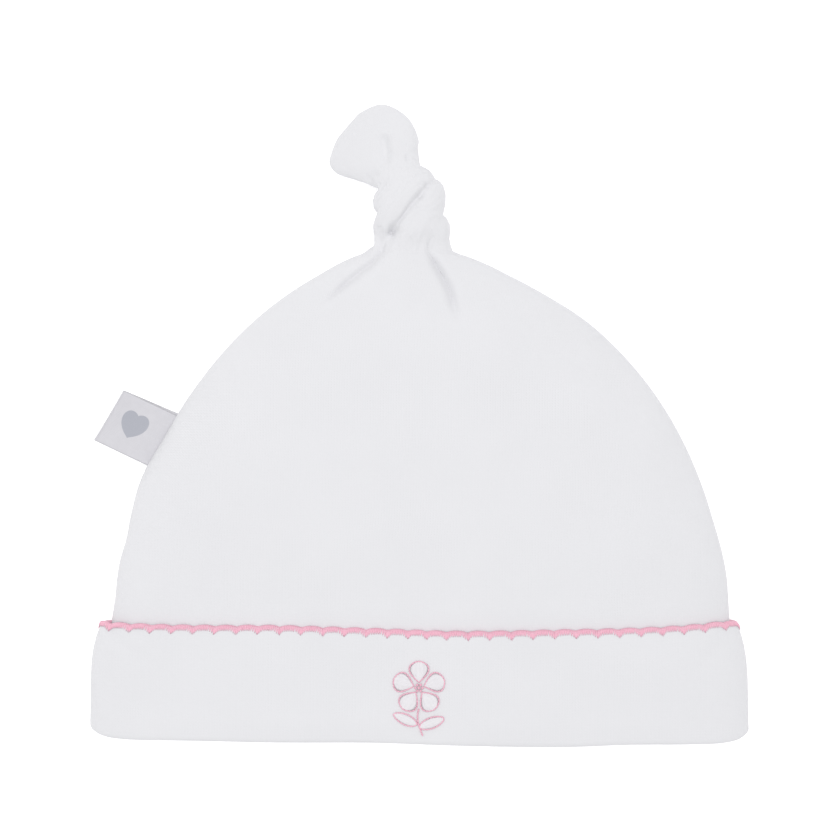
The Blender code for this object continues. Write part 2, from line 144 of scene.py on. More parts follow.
# How far the real outline of the dome lies outside (above 0) or inside the plain one, in millimetres
Trim = namedtuple("Trim", "rise left right")
OUTLINE_TRIMS = table(
    Trim,
    (36.7, 0.0, 0.0),
    (45.0, -0.3, -0.2),
    (51.0, -0.9, -0.5),
    (57.0, -0.4, -0.7),
    (67.0, 0.4, -0.4),
    (78.0, -0.2, 0.2),
    (90.0, 0.0, 0.5),
    (100.0, 0.4, 0.3),
    (107.0, 0.3, 0.0),
    (112.0, 0.0, -1.0),
    (117.0, -0.5, -1.7),
    (122.2, -0.9, -2.0),
    (125.1, -0.9, -2.0),
)

# How much higher the cuff's fold and its upper edge lie than the plain curves, in millimetres
Lift = namedtuple("Lift", "side fold edge")
CUFF_LIFTS = table(
    Lift,
    (-82.0, -1.4, 0.0),
    (-78.5, -0.7, 0.3),
    (-74.0, 0.1, 0.7),
    (-64.0, 0.9, 1.5),
    (-50.0, 1.3, 2.4),
    (-35.0, 1.4, 3.0),
    (-12.0, 1.7, 2.6),
    (8.0, 1.2, 1.9),
    (35.0, 0.8, 1.9),
    (52.0, 1.1, 1.5),
    (68.0, 0.6, 1.0),
    (76.0, -0.2, 0.8),
    (79.5, -0.9, 0.1),
    (82.0, -1.2, -0.6),
)

# The knot's passes of gathered cloth, in millimetres from the middle of the hat's box: the neck rises broad
# and smooth to the upper right and turns behind to the upper left, and the front band comes over the top,
# crosses down to the lower left and turns behind to the lower right
Turn = namedtuple("Turn", "x y z radius")
NECK_PASS = table(
    Turn,
    (-3.0, 36.0, 4.6, 3.4),
    (-2.9, 40.0, 6.9, 4.4),
    (-2.2, 44.0, 8.8, 4.7),
    (-0.9, 48.0, 9.6, 4.8),
    (0.8, 51.6, 9.8, 4.8),
    (2.3, 54.8, 9.7, 4.1),
    (2.8, 57.4, 9.0, 3.7),
    (2.7, 58.3, 6.6, 3.5),
    (1.6, 58.0, 4.4, 3.4),
    (-2.0, 57.2, 3.6, 3.3),
    (-6.6, 56.0, 4.6, 3.4),
    (-8.2, 55.6, 8.6, 3.5),
    (-6.4, 57.4, 10.4, 3.5),
    (-4.8, 60.2, 10.2, 3.6),
    (-5.2, 62.6, 9.3, 3.5),
    (-6.6, 65.2, 8.2, 3.1),
    (-8.2, 67.0, 7.4, 2.2),
)
TONGUE_PLEAT = table(
    Turn,
    (-6.2, 40.0, 6.4, 3.6),
    (-5.2, 44.0, 8.6, 4.0),
    (-4.0, 48.0, 9.6, 4.0),
    (-2.2, 52.0, 9.8, 4.0),
    (-0.4, 55.6, 9.4, 3.8),
)
FRONT_BAND = table(
    Turn,
    (-0.4, 59.6, 4.4, 3.2),
    (0.3, 60.6, 7.4, 3.5),
    (-0.2, 60.7, 9.6, 3.7),
    (-1.7, 59.7, 10.8, 3.5),
    (-4.2, 56.5, 11.3, 3.4),
    (-6.6, 53.0, 11.0, 3.4),
    (-7.9, 49.8, 9.4, 3.5),
    (-7.7, 48.7, 6.4, 3.6),
    (-4.5, 48.2, 4.2, 3.4),
    (-0.5, 47.9, 4.0, 3.4),
    (2.9, 48.4, 5.6, 3.9),
    (3.6, 48.9, 8.7, 4.1),
    (3.4, 45.8, 8.9, 4.1),
    (4.6, 42.6, 7.8, 3.8),
    (7.0, 38.5, 5.6, 3.0),
)
# Under the tip's left side, and beside the neck on the left, the cloth is drawn in from the knot
TIP_PLEAT = table(
    Turn,
    (-7.6, 57.0, 8.4, 2.8),
    (-7.9, 59.8, 8.3, 2.6),
    (-9.4, 62.2, 7.8, 2.7),
    (-11.0, 65.0, 7.0, 2.2),
)
NECK_PLEAT = table(
    Turn,
    (-7.9, 50.0, 9.2, 3.2),
    (-7.9, 47.0, 8.2, 3.4),
    (-7.9, 44.4, 7.2, 3.5),
    (-8.8, 41.6, 6.4, 3.3),
    (-9.8, 38.8, 5.8, 2.8),
)
# The cloth that lies under the band's edge
CREASE_FILL = table(
    Turn,
    (-7.2, 47.4, 7.6, 3.2),
    (-5.6, 50.0, 8.6, 3.4),
    (-3.0, 53.6, 9.2, 3.3),
    (0.2, 57.4, 8.8, 3.0),
)
KNOT_PASSES = (NECK_PASS, TONGUE_PLEAT, FRONT_BAND, TIP_PLEAT, NECK_PLEAT, CREASE_FILL)

# Sections across the tip: along is a share of TAIL_LENGTH, lean is degrees to the left of straight up, left
# and right are shares of TAIL_WIDTH, puff of TAIL_THICKNESS, and the two edges' heights of KNOT_DEPTH
Slice = namedtuple("Slice", "along lean left right puff left_edge right_edge")
TAIL_SLICES = table(
    Slice,
    (-0.15, 40, 0.18, 0.18, 0.80, 0.55, 0.57),
    (0.00, 48, 0.265, 0.30, 1.00, 0.50, 0.56),
    (0.11, 48, 0.33, 0.41, 1.00, 0.45, 0.56),
    (0.28, 48, 0.375, 0.485, 1.00, 0.36, 0.54),
    (0.44, 48, 0.43, 0.515, 0.97, 0.28, 0.50),
    (0.66, 48, 0.50, 0.50, 0.88, 0.20, 0.42),
    (0.84, 48, 0.465, 0.43, 0.66, 0.18, 0.36),
    (0.93, 48, 0.33, 0.31, 0.42, 0.17, 0.32),
    (0.985, 48, 0.20, 0.19, 0.18, 0.17, 0.30),
)

# Creases and soft folds of the front, in millimetres from the middle of the hat's box. left_width and
# right_width are the slopes' widths beside the path, as one goes along it; depth below 0 is a ridge
Fold = namedtuple("Fold", "depth left_width right_width start_share end_share path")
CROWN_FOLDS = table(
    Fold,
    (1.7, 1.5, 1.15, 1.0, 0.7,
     [(-6.5, 47.9), (-7.6, 45.6), (-9.6, 42.7), (-11.7, 40.2), (-14.7, 37.9), (-19.0, 34.5),
      (-23.7, 30.2)]),
    (0.6, 0.8, 0.7, 0.4, 0.9, [(-17.4, 35.8), (-19.0, 34.5), (-22.6, 31.0), (-24.1, 29.6)]),
    (1.8, 1.1, 1.4, 0.95, 0.7,
     [(1.2, 44.0), (2.2, 43.1), (3.0, 41.9), (4.0, 40.0), (5.6, 37.4), (7.5, 33.7), (8.8, 29.0),
      (10.9, 24.2)]),
    (0.35, 1.6, 1.8, 0.5, 0.5, [(4.0, 40.0), (5.6, 37.4), (7.5, 33.7), (8.8, 29.0)]),
    (0.35, 0.7, 0.75, 0.9, 0.6, [(1.6, 43.8), (2.4, 42.7), (3.4, 41.0), (4.6, 39.0)]),
    (0.35, 5.0, 5.0, 0.6, 0.0, [(-12.0, 36.5), (-19.0, 28.0), (-27.0, 17.0)]),
    (0.35, 5.0, 5.0, 0.6, 0.0, [(13.0, 36.5), (20.0, 28.0), (28.0, 17.0)]),
    (-0.4, 3.4, 3.4, 1.0, 0.0, [(-2.6, 44.0), (-3.6, 36.0), (-4.6, 24.0)]),
    (0.35, 2.6, 2.0, 0.2, 1.0, [(-49.6, -22.6), (-51.5, -33.0), (-53.9, -44.0)]),
    (0.55, 3.2, 3.0, 0.3, 0.4, [(1.5, -48.6), (14.0, -48.8), (28.0, -47.6)]),
    (0.30, 2.6, 2.6, 0.8, 0.0, [(68.0, -29.0), (62.0, -33.0), (55.0, -35.0)]),
    (0.25, 3.0, 3.0, 0.5, 0.0, [(24.0, 38.0), (36.0, 31.0), (46.0, 21.0)]),
)
KNOT_FOLDS = table(
    Fold,
    (0.75, 0.5, 0.6, 1.0, 0.4, [(-7.0, 47.9), (-6.7, 48.4), (-3.8, 52.0), (-1.0, 55.6), (1.6, 58.9)]),
    (0.2, 0.7, 0.8, 0.9, 0.3, [(-7.6, 47.0), (-6.6, 48.4), (-5.4, 50.0)]),
    (0.5, 0.5, 0.5, 0.9, 0.9, [(1.3, 58.6), (1.6, 59.3), (1.8, 59.9)]),
    (1.3, 1.3, 1.5, 0.8, 0.8, [(-8.9, 73.0), (-8.6, 70.6), (-8.2, 67.6), (-7.5, 64.2)]),
    (0.45, 0.45, 0.6, 0.8, 0.8, [(-3.4, 67.4), (-3.0, 66.0), (-2.8, 64.6)]),
    (0.7, 1.3, 1.7, 0.6, 0.8, [(-14.2, 61.4), (-11.6, 61.8), (-9.0, 62.4)]),
)
CUFF_FOLDS = table(
    Fold,
    (0.45, 1.4, 1.8, 1.0, 0.0, [(-76.5, -52.0), (-71.5, -57.0), (-64.0, -61.0)]),
    (0.35, 1.3, 1.6, 1.0, 0.0, [(-70.5, -51.6), (-66.5, -55.2), (-60.5, -58.0)]),
    (0.35, 1.8, 1.5, 1.0, 0.0, [(77.0, -53.0), (72.0, -58.0), (66.0, -63.5)]),
    (0.25, 2.4, 2.4, 0.2, 0.3, [(-30.0, -74.0), (-8.0, -75.5), (20.0, -74.6)]),
)


def blend(first, last, share):
    return first + (last - first) * share


def ease(value, low, high):
    """From 0 at low to 1 at high, smoothly."""
    t = min(max((value - low) / (high - low), 0.0), 1.0)
    return t * t * (3 - 2 * t)


def smooth_row(rows, key, value):
    """Read a table on a smooth curve between its rows, by the column named key or by the rows' numbers."""
    places = [getattr(row, key) for row in rows] if key else range(len(rows))
    k = 0
    while k < len(rows) - 2 and value > places[k + 1]:
        k += 1

    def slopes(i):
        low = max(i - 1, 0)
        high = min(i + 1, len(rows) - 1)
        return [(b - a) / (places[high] - places[low]) for a, b in zip(rows[low], rows[high])]

    step = places[k + 1] - places[k]
    t = min(max((value - places[k]) / step, 0.0), 1.0)
    start = 2 * t ** 3 - 3 * t ** 2 + 1
    values = []
    for a, b, slope_a, slope_b in zip(rows[k], rows[k + 1], slopes(k), slopes(k + 1)):
        rise = (t ** 3 - 2 * t ** 2 + t) * slope_a + (t ** 3 - t ** 2) * slope_b
        values.append(start * a + (1 - start) * b + step * rise)
    return type(rows[0])(*values)


def dome_centre(rise):
    share = max(rise - DOME_START, 0.0) / DOME_HEIGHT
    lean = max(share - LEAN_START, 0.0) / (1 - LEAN_START)
    return blend(CROWN_SHIFT, KNOT_SHIFT, lean ** LEAN_POWER)


def dome_half_width(rise):
    share = max(rise - DOME_START, 0.0) / DOME_HEIGHT
    return CROWN_HALF_WIDTH * max(1 - share ** DOME_POWER, 0.0) ** (1 / DOME_POWER)


def cuff_ring(share):
    """The crown's outer surface inside the cuff, from the rim (0) to the cuff's upper edge (1)."""
    bow = blend(FOLD_BOW, EDGE_BOW, share)
    corner = FOLD_CORNER * (1 - share) ** CORNER_RISE_POWER
    rise = blend(RIM_RISE, CUFF_HEIGHT, share)
    top = CUFF_HEIGHT + EDGE_BOW
    down = (top - rise - bow - corner) / (top - RIM_RISE - FOLD_BOW - FOLD_CORNER)
    flare = EDGE_FLARE + MOUTH_FLARE * (1 - (1 - down) ** FLARE_POWER)
    lining = CUFF_WALL + CLEARANCE
    rim_crest = CUFF_LOFT - lining
    return Ring(
        rise=rise,
        bow=bow,
        corner=corner,
        tilt=FOLD_TILT * (1 - share),
        centre=CROWN_SHIFT * share / 2,
        half_width=CROWN_HALF_WIDTH + flare,
        underside=lining,
        side_fold=blend(CUFF_LOFT * CUFF_SIDE_FOLD, CROWN_LOFT * DOME_SECTIONS[0].side_fold, share),
        crest=blend(rim_crest, rim_crest + CUFF_WALL / 2, share),
    )


def dome_ring(rise):
    """A ring of the dome, whose outline is a superellipse that the gathers fill out below the knot."""
    share = (rise - DOME_START) / DOME_HEIGHT
    section = smooth_row(DOME_SECTIONS, "rise", share)
    angle = asin(min(share ** (DOME_POWER / 2), 1.0))
    fade = min(angle / BOW_FADE, 1.0)
    trim = smooth_row(OUTLINE_TRIMS, "rise", rise / MM)
    filled = dome_half_width(rise) + SHOULDER_FILL * ease(rise, SHOULDER_RISE, TOP_RISE)
    return Ring(
        rise=rise,
        bow=CROWN_BOW * cos(fade * pi / 2),
        corner=0.0,
        tilt=0.0,
        centre=dome_centre(rise) + (trim.right - trim.left) / 2 * MM,
        half_width=filled + (trim.right + trim.left) / 2 * MM,
        underside=section.underside * CROWN_LOFT,
        side_fold=section.side_fold * CROWN_LOFT,
        crest=section.crest * CROWN_LOFT,
    )


def ring_point(ring, turn, lift=0.0, shift=0.0):
    """A point of a ring: turn goes round the hat, lift is outwards from the cloth, shift is up the hat."""
    across = cos(turn)
    share = min(abs(across), 1.0)
    x = ring.centre + copysign((ring.half_width + lift) * share, across)
    y = ring.rise + shift + ring.bow * share ** BOW_POWER + ring.corner * share ** CORNER_POWER
    y -= ring.tilt * across
    if sin(turn) >= 0:
        fullness = (1 - share ** FRONT_POWER) ** (1 / FRONT_POWER)
        z = ring.side_fold + (ring.crest + lift - ring.side_fold) * fullness
    else:
        into_corner = max(share - 1 + BACK_CORNER, 0.0) / BACK_CORNER
        fullness = sqrt(max(1 - into_corner ** 2, 0.0))
        z = ring.side_fold - (ring.side_fold - ring.underside + lift) * fullness
    return Vector((x, y, z)) + HAT_ORIGIN


def neck_point(neck, turn):
    """A point of the gathered neck, whose rings are ellipses."""
    x = neck.side + neck.half_width * cos(turn)
    z = neck.height + neck.half_depth * sin(turn)
    return Vector((x, neck.rise, z)) * MM + HAT_ORIGIN


def lengths_along(points):
    """The distance from the first point to each point, along the line through them."""
    return list(accumulate(((after - before).length for before, after in pairwise(points)), initial=0.0))


RING_MARKS = 240


def even_ring(point_at, count):
    """Points round a ring from the right-hand side over the front: half of them on the front, half on the
    back, evenly spaced, each with its distance across the panel from the panel's middle."""
    half = count // 2
    points = []
    across = []
    for start, sign in ((0.0, 1), (pi, -1)):
        marks = [point_at(start + pi * k / RING_MARKS) for k in range(RING_MARKS + 1)]
        lengths = lengths_along(marks)
        k = 0
        for step in range(half):
            wanted = lengths[-1] * step / half
            while lengths[k + 1] < wanted:
                k += 1
            share = (wanted - lengths[k]) / max(lengths[k + 1] - lengths[k], 1e-9)
            points.append(point_at(start + pi * (k + share) / RING_MARKS))
            across.append(sign * (lengths[-1] / 2 - wanted))
    points.append(points[0].copy())
    across.append(-across[half])
    return points, across


def wrapped_cloth(loops, along, place_at):
    """A grid of cloth that is wrapped round: one row of the grid for each loop of points. Its UV map is in
    metres: across the panel, and along the cloth."""
    rows = len(loops) - 1
    columns = len(loops[0]) - 1
    cloth = bmesh.new()
    bmesh.ops.create_grid(cloth, x_segments=columns, y_segments=rows, size=1.0)
    layer = cloth.loops.layers.uv.new("cloth")
    places = {v: (round((v.co.x + 1) / 2 * columns), round((v.co.y + 1) / 2 * rows)) for v in cloth.verts}
    for face in cloth.faces:
        middle = sum(places[corner.vert][0] for corner in face.loops) / len(face.loops)
        for corner in face.loops:
            column, row = places[corner.vert]
            corner[layer].uv = (place_at(row, column, middle > columns / 2), along[row])
    for v, (column, row) in places.items():
        v.co = loops[row][column]
    bmesh.ops.remove_doubles(cloth, verts=cloth.verts, dist=1e-6)
    return cloth


def panel_cloth(loops, across, along):
    """Cloth of a front and a back panel that meet at the sides, where each counts from its own middle."""
    half = len(loops[0]) // 2

    def place_at(row, column, back):
        return -across[row][0] if column == half and not back else across[row][column]

    return wrapped_cloth(loops, along, place_at)


def close_ends(cloth):
    bmesh.ops.holes_fill(cloth, edges=[edge for edge in cloth.edges if edge.is_boundary], sides=0)
    bmesh.ops.recalc_face_normals(cloth, faces=cloth.faces)
    return cloth


def add_object(name, data):
    thing = bpy.data.objects.new(name, data)
    bpy.context.scene.collection.objects.link(thing)
    return thing


def add_piece(name, shape):
    """Turn a bmesh into a smooth object of the scene."""
    mesh = bpy.data.meshes.new(name)
    shape.to_mesh(mesh)
    shape.free()
    mesh.shade_smooth()
    return add_object(name, mesh)


def add_sheet(name, shape, thickness):
    """A sheet of cloth, whose thickness lies half on either side of the shape."""
    sheet = add_piece(name, shape)
    wall = sheet.modifiers.new("cloth thickness", "SOLIDIFY")
    wall.thickness = thickness
    wall.offset = 0.0
    wall.use_even_offset = False
    return sheet


def join_into(whole, part):
    """Move a part's shape into a whole one."""
    mesh = bpy.data.meshes.new("part")
    part.to_mesh(mesh)
    part.free()
    whole.from_mesh(mesh)
    bpy.data.meshes.remove(mesh)


# The shares of a fold's length over which it starts and ends
FOLD_START = 0.25
FOLD_END = 0.35


def fold_depth(folds, x, y):
    """How far the folds press the cloth in at a point, in millimetres."""
    depth = 0.0
    for fold in folds:
        reach = 3 * max(fold.left_width, fold.right_width)
        xs, ys = zip(*fold.path)
        if not (min(xs) - reach < x < max(xs) + reach and min(ys) - reach < y < max(ys) + reach):
            continue
        nearest = (inf, 0.0, 0.0)
        passed = 0.0
        for (ax, ay), (bx, by) in pairwise(fold.path):
            length = dist((ax, ay), (bx, by))
            along = ((x - ax) * (bx - ax) + (y - ay) * (by - ay)) / length
            side = ((x - ax) * (by - ay) - (y - ay) * (bx - ax)) / length
            inside = min(max(along, 0.0), length)
            distance = hypot(along - inside, side)
            if distance < nearest[0]:
                nearest = (distance, passed + inside, side)
            passed += length
        distance, along, side = nearest
        width = fold.right_width if side > 0 else fold.left_width
        share = along / passed
        strength = blend(fold.start_share, fold.end_share, share)
        taper = ease(share, 0.0, FOLD_START) if fold.start_share < 1 else 1.0
        taper *= ease(1 - share, 0.0, FOLD_END) if fold.end_share < 1 or fold.start_share == 1 else 1.0
        depth += fold.depth * strength * taper * exp(-(distance / width) ** 2)
    return depth


def ripple(point, size, seed):
    """Smooth waviness from -1 to 1, with bumps of about the given size in metres."""
    return noise.noise(Vector((point.x / size, point.y / size, seed)))


SEAM_DEPTH = 0.4 * MM
SEAM_WIDTH = 0.9 * MM
WAVE_HEIGHT = 0.45 * MM
WAVE_SIZE = 34 * MM
RIPPLE_HEIGHT = 0.16 * MM
RIPPLE_SIZE = 13 * MM
EDGE_WAVE = 0.18 * MM
EDGE_WAVE_SIZE = 17 * MM
# The shares of half a panel over which the edge's waves end, and the front's waves and folds begin
EDGE_WAVE_REACH = 0.1
WAVE_START = 0.12
PRESS_START = 0.08


def shape_cloth(point, front, across, panel_width, folds):
    """Press the folds, the side seams and a little waviness into a point of the cloth."""
    edge = 1 - min(abs(across) / (panel_width / 2), 1.0)
    outward = copysign(1, across)
    from_seam = edge * panel_width / 2 / SEAM_WIDTH
    point.x -= outward * SEAM_DEPTH * exp(-from_seam ** 2)
    wave = ripple(Vector((point.y, outward, 0)), EDGE_WAVE_SIZE, 9.1)
    point.x += outward * EDGE_WAVE * wave * (1 - ease(edge, 0, EDGE_WAVE_REACH))
    if front:
        waves = WAVE_HEIGHT * ripple(point, WAVE_SIZE, 1.7)
        waves += RIPPLE_HEIGHT * ripple(point, RIPPLE_SIZE, 5.3)
        pressed = fold_depth(folds, point.x / MM, point.y / MM) * MM
        point.z += waves * ease(edge, 0.0, WAVE_START) - pressed * ease(edge, 0.0, PRESS_START)


def cloth_rows(stations, count, folds):
    """Loops of shaped points for the stations, with their distances across and along the cloth."""
    loops = []
    across_rows = []
    half = count // 2
    for station in stations:
        points, across = even_ring(station, count)
        for k, point in enumerate(points):
            front = k <= half
            panel_width = 2 * abs(across[0] if front else across[half])
            shape_cloth(point, front, across[k], panel_width, folds)
        points[-1] = points[0].copy()
        loops.append(points)
        across_rows.append(across)
    down_the_front = lengths_along([loop[count // 4] for loop in loops])
    return loops, across_rows, [-length for length in down_the_front]


CROWN_COLUMNS = 360
NECK_ROWS = 22
NECK_SPACING = 1.15
DOME_ROWS = 72
DOME_SPACING = 0.35
EDGE_ROWS = 7
LINING_ROWS = 10
CROWN_END_SHARE = 0.76
SHOULDER_ROUND = 1.0 * MM


def crown_stations():
    """Each ring of the crown from the neck down to the inside of the cuff, as a function of turn."""
    lift = -CLOTH / 2

    def as_neck(ring):
        return Neck(
            rise=ring.rise / MM,
            side=ring.centre / MM,
            half_width=(ring.half_width + lift) / MM,
            height=(ring.underside + ring.crest) / 2 / MM,
            half_depth=((ring.crest - ring.underside) / 2 + lift) / MM,
        )

    shoulder = dome_ring(TOP_RISE)
    necks = [as_neck(dome_ring(TOP_RISE - SHOULDER_ROUND)), as_neck(shoulder), *NECK_RINGS]

    def on_ring(ring):
        return lambda turn: ring_point(ring, turn, lift)

    def on_neck(share):
        neck = smooth_row(necks, "rise", blend(TOP_RISE / MM, necks[-1].rise, share))
        weight = max(1 - share * 3, 0.0) ** 2
        flat = shoulder._replace(
            rise=neck.rise * MM, centre=neck.side * MM, half_width=neck.half_width * MM,
            crest=blend((neck.height + neck.half_depth) * MM, shoulder.crest + lift, weight),
            underside=blend((neck.height - neck.half_depth) * MM, shoulder.underside - lift, weight),
        )
        return lambda turn: neck_point(neck, turn).lerp(ring_point(flat, turn), weight)

    stations = [on_neck((1 - k / NECK_ROWS) ** NECK_SPACING) for k in range(NECK_ROWS)]
    for k in range(DOME_ROWS + 1):
        down = DOME_SPACING * k / DOME_ROWS + (1 - DOME_SPACING) * (k / DOME_ROWS) ** 2
        stations.append(on_ring(dome_ring(blend(TOP_RISE, DOME_START, down))))
    base = dome_ring(DOME_START)
    edge = cuff_ring(1.0)
    for k in range(1, EDGE_ROWS):
        share = k / EDGE_ROWS
        ring = Ring(*(blend(a, b, share) for a, b in zip(base, edge._replace(rise=CUFF_HEIGHT + MM))))
        stations.append(on_ring(ring._replace(crest=blend(base.crest, edge.crest, share ** 2))))
    for k in range(LINING_ROWS + 1):
        stations.append(on_ring(cuff_ring(1 - CROWN_END_SHARE * k / LINING_ROWS)))
    return stations


def make_crown():
    rows = cloth_rows(crown_stations(), CROWN_COLUMNS, CROWN_FOLDS)
    return add_sheet("crown_jersey", panel_cloth(*rows), CLOTH)


CUFF_COLUMNS = 528
FOLD_ROWS = 10
OUTSIDE_ROWS = 22
FOLD_ROLL = 0.25 * MM
FOLD_ROLL_SHARE = 0.12
FOLD_ROLL_WIDTH = 0.09
FOLD_DROP = 0.3 * MM
EDGE_LOOSE = 0.15 * MM
EDGE_SPREAD = 1.05 * MM
EDGE_SHIFT = 0.3 * MM
FOLD_SPREAD = 0.5 * MM
EDGE_REACH = 0.9 * MM
# Inside the mouth the cuff's lining covers the crown's end, and its own end dives into the crown's cloth
LINING_SHARE = 0.34
LINING_DIVE = 0.40 * MM
LINING_PROUD = 0.06 * MM


def cuff_stations():
    """From inside the crown's mouth round the fold and up the outside to the edging, each with its share of
    the cuff's height."""
    inner = -CLOTH / 2
    outer = CLEARANCE + CUFF_WALL / 2
    stations = []

    def add_station(up, ring, lift, shift=0.0, loose=0.0):
        def at(turn):
            point = ring_point(ring, turn, lift + loose * max(sin(turn), 0.0), shift)
            point.z = max(point.z, CLOTH / 2)
            return point

        stations.append((at, up))

    for k in range(LINING_ROWS):
        share = LINING_SHARE * (1 - k / LINING_ROWS)
        dive = LINING_DIVE * ease(share, 0.8 * LINING_SHARE, LINING_SHARE) - LINING_PROUD
        add_station(share, cuff_ring(share), inner + dive)
    rim = cuff_ring(0.0)
    rim = rim._replace(half_width=rim.half_width + FOLD_SPREAD)
    radius = (outer - inner) / 2
    middle = (outer + inner) / 2
    for k in range(FOLD_ROWS + 1):
        angle = pi * k / FOLD_ROWS
        add_station(0.0, rim, middle - radius * cos(angle), -FOLD_DROP - radius * sin(angle))
    for k in range(1, OUTSIDE_ROWS + 1):
        share = k / OUTSIDE_ROWS
        roll = FOLD_ROLL * exp(-((share - FOLD_ROLL_SHARE) / FOLD_ROLL_WIDTH) ** 2)
        ring = cuff_ring(share)
        spread = EDGE_SPREAD * share ** 2 + FOLD_SPREAD * (1 - share) ** 2
        shift = EDGE_SHIFT * share ** 0.7
        ring = ring._replace(half_width=ring.half_width + spread, centre=ring.centre - shift)
        add_station(share, ring, outer, loose=EDGE_LOOSE * share ** 3 + roll)
    add_station(1.0, ring, outer, EDGE_REACH, EDGE_LOOSE)
    return stations


# The scallops' spacing is tighter in the middle of the front, where the sewing was eased
SCALLOP_EASE = 0.155
SCALLOP_EASE_REACH = 5.0 * MM
SCALLOP_PHASE = 0.619
SIDE_START = 74.0 * MM


def scallop_places(loop):
    """The number of scallops from the middle of the front to each point of the cuff's edge. It falls from
    the right-hand side over the front to the left and on round the back."""
    half = (len(loop) - 1) // 2
    places = [0.0]
    for before, after in pairwise(loop):
        step = (after - before).length
        if len(places) <= half and abs(before.x) < SIDE_START:
            step = before.x - after.x
        places.append(places[-1] - step / SCALLOP_PITCH)
    middle = min(range(half), key=lambda k: abs(loop[k].x))
    start = places[middle]
    places = [place - start for place in places]
    for k in range(half + 1):
        places[k] += SCALLOP_EASE * tanh(loop[k].x / SCALLOP_EASE_REACH)
    for k in range(half + 1, len(places)):
        places[k] -= SCALLOP_EASE
    whole = round(places[0] - places[-1])
    back = whole - (places[0] - places[half])
    stretch = back / (places[half] - places[-1])
    for k in range(half + 1, len(places)):
        places[k] = places[half] + (places[k] - places[half]) * stretch
    return [place + SCALLOP_PHASE for place in places]


SCALLOP_ROUNDNESS = 0.7
SCALLOP_LEVEL = 0.6
SCALLOP_SHOWN = 0.75
FRONT_DRAWN_IN = 0.35 * MM
BACK_DRAWN_IN = -0.2 * MM


def make_cuff():
    """The turned-up band with its scalloped edge. With it come the edge's points, the points a little below
    them and the scallops' places."""
    stations = cuff_stations()
    loops, across, along = cloth_rows([at for at, up in stations], CUFF_COLUMNS, CUFF_FOLDS)
    for loop, (at, up) in zip(loops, stations):
        for point in loop[:-1]:
            lift = smooth_row(CUFF_LIFTS, "side", point.x / MM)
            point.y += blend(lift.fold, lift.edge, up) * MM
        loop[-1] = loop[0].copy()
    places = scallop_places(loops[-1])
    for loop, reach in ((loops[-1], 1.0), (loops[-2], 0.45), (loops[-3], 0.15)):
        for k, point in enumerate(loop):
            arch = abs(sin(pi * places[k])) ** SCALLOP_ROUNDNESS
            point.y += (arch - SCALLOP_LEVEL) * SCALLOP_RISE * SCALLOP_SHOWN * reach
            drawn_in = FRONT_DRAWN_IN if k <= CUFF_COLUMNS // 2 else BACK_DRAWN_IN
            point.z -= (1 - arch) * drawn_in * reach
    cuff = add_sheet("cuff_jersey", panel_cloth(loops, across, along), CLOTH)
    return cuff, loops[-1], loops[-3], places


STRAND_RINGS = 180
STRAND_SIDES = 24


def strand(rows):
    """A closed pass of gathered cloth along the rows of a table, with its UV map round and along it."""
    last = len(rows) - 1
    route = [smooth_row(rows, None, last * k / STRAND_RINGS) for k in range(STRAND_RINGS + 1)]
    centres = [Vector((row.x, row.y, row.z)) * MM for row in route]
    direction = (centres[1] - centres[0]).normalized()
    spoke = direction.orthogonal().normalized()
    loops = []
    for k, (centre, row) in enumerate(zip(centres, route)):
        ahead = centres[min(k + 1, STRAND_RINGS)]
        behind = centres[max(k - 1, 0)]
        new_direction = (ahead - behind).normalized()
        spoke.rotate(direction.rotation_difference(new_direction))
        direction = new_direction
        turns = [2 * pi * side / STRAND_SIDES for side in range(STRAND_SIDES)]
        spokes = [Matrix.Rotation(turn, 3, direction) @ spoke for turn in turns]
        loops.append([centre + turned * row.radius * MM for turned in spokes])
    middles = [sum(loop, Vector()) / STRAND_SIDES for loop in loops]
    closed = [[*loop, loop[0].copy()] for loop in loops]
    girths = [lengths_along(loop)[-1] for loop in closed]

    def place_at(row, column, back):
        return girths[row] * column / STRAND_SIDES

    return close_ends(wrapped_cloth(closed, lengths_along(middles), place_at))


def heading(lean):
    """The direction that leans so many degrees to the left of straight up the hat."""
    return Vector((-sin(radians(lean)), cos(radians(lean))))


TAIL_BASE = Vector((-4.5, 63.5, 0)) * MM
TAIL_ROWS = 36
TAIL_COLUMNS = 72
TAIL_SPACING = 1.35


def tail_cloth():
    """The puffed tip of the hat: two panels, sewn together round their edge, which spread from the knot."""
    first = TAIL_SLICES[0].along
    last = TAIL_SLICES[-1].along
    spine = TAIL_BASE.copy()
    before = 0.0
    loops = []
    across_rows = []
    for k in range(TAIL_ROWS + 1):
        piece = smooth_row(TAIL_SLICES, "along", blend(last, first, (1 - k / TAIL_ROWS) ** TAIL_SPACING))
        ahead = heading(piece.lean).to_3d()
        rightwards = Vector((ahead.y, -ahead.x, 0))
        spine = spine + ahead * (piece.along - before) * TAIL_LENGTH
        before = piece.along
        middle = (piece.right - piece.left) / 2 * TAIL_WIDTH
        reach = (piece.right + piece.left) / 2 * TAIL_WIDTH
        puff = blend(TAIL_SEAM_THICKNESS, TAIL_THICKNESS, piece.puff) / 2
        height = (piece.left_edge + piece.right_edge) / 2 * KNOT_DEPTH
        slope = (piece.right_edge - piece.left_edge) / 2 * KNOT_DEPTH

        def at(turn):
            point = spine + rightwards * (middle + reach * cos(turn))
            point.z = height + slope * cos(turn) + puff * sin(turn)
            return point

        points, across = even_ring(at, TAIL_COLUMNS)
        loops.append(points)
        across_rows.append(across)
    along = lengths_along([loop[TAIL_COLUMNS // 4] for loop in loops])
    return close_ends(panel_cloth(loops, across_rows, along))


# Where the knit runs on a face of the cloth before it was pressed together
Knit = namedtuple("Knit", "middle place across along")


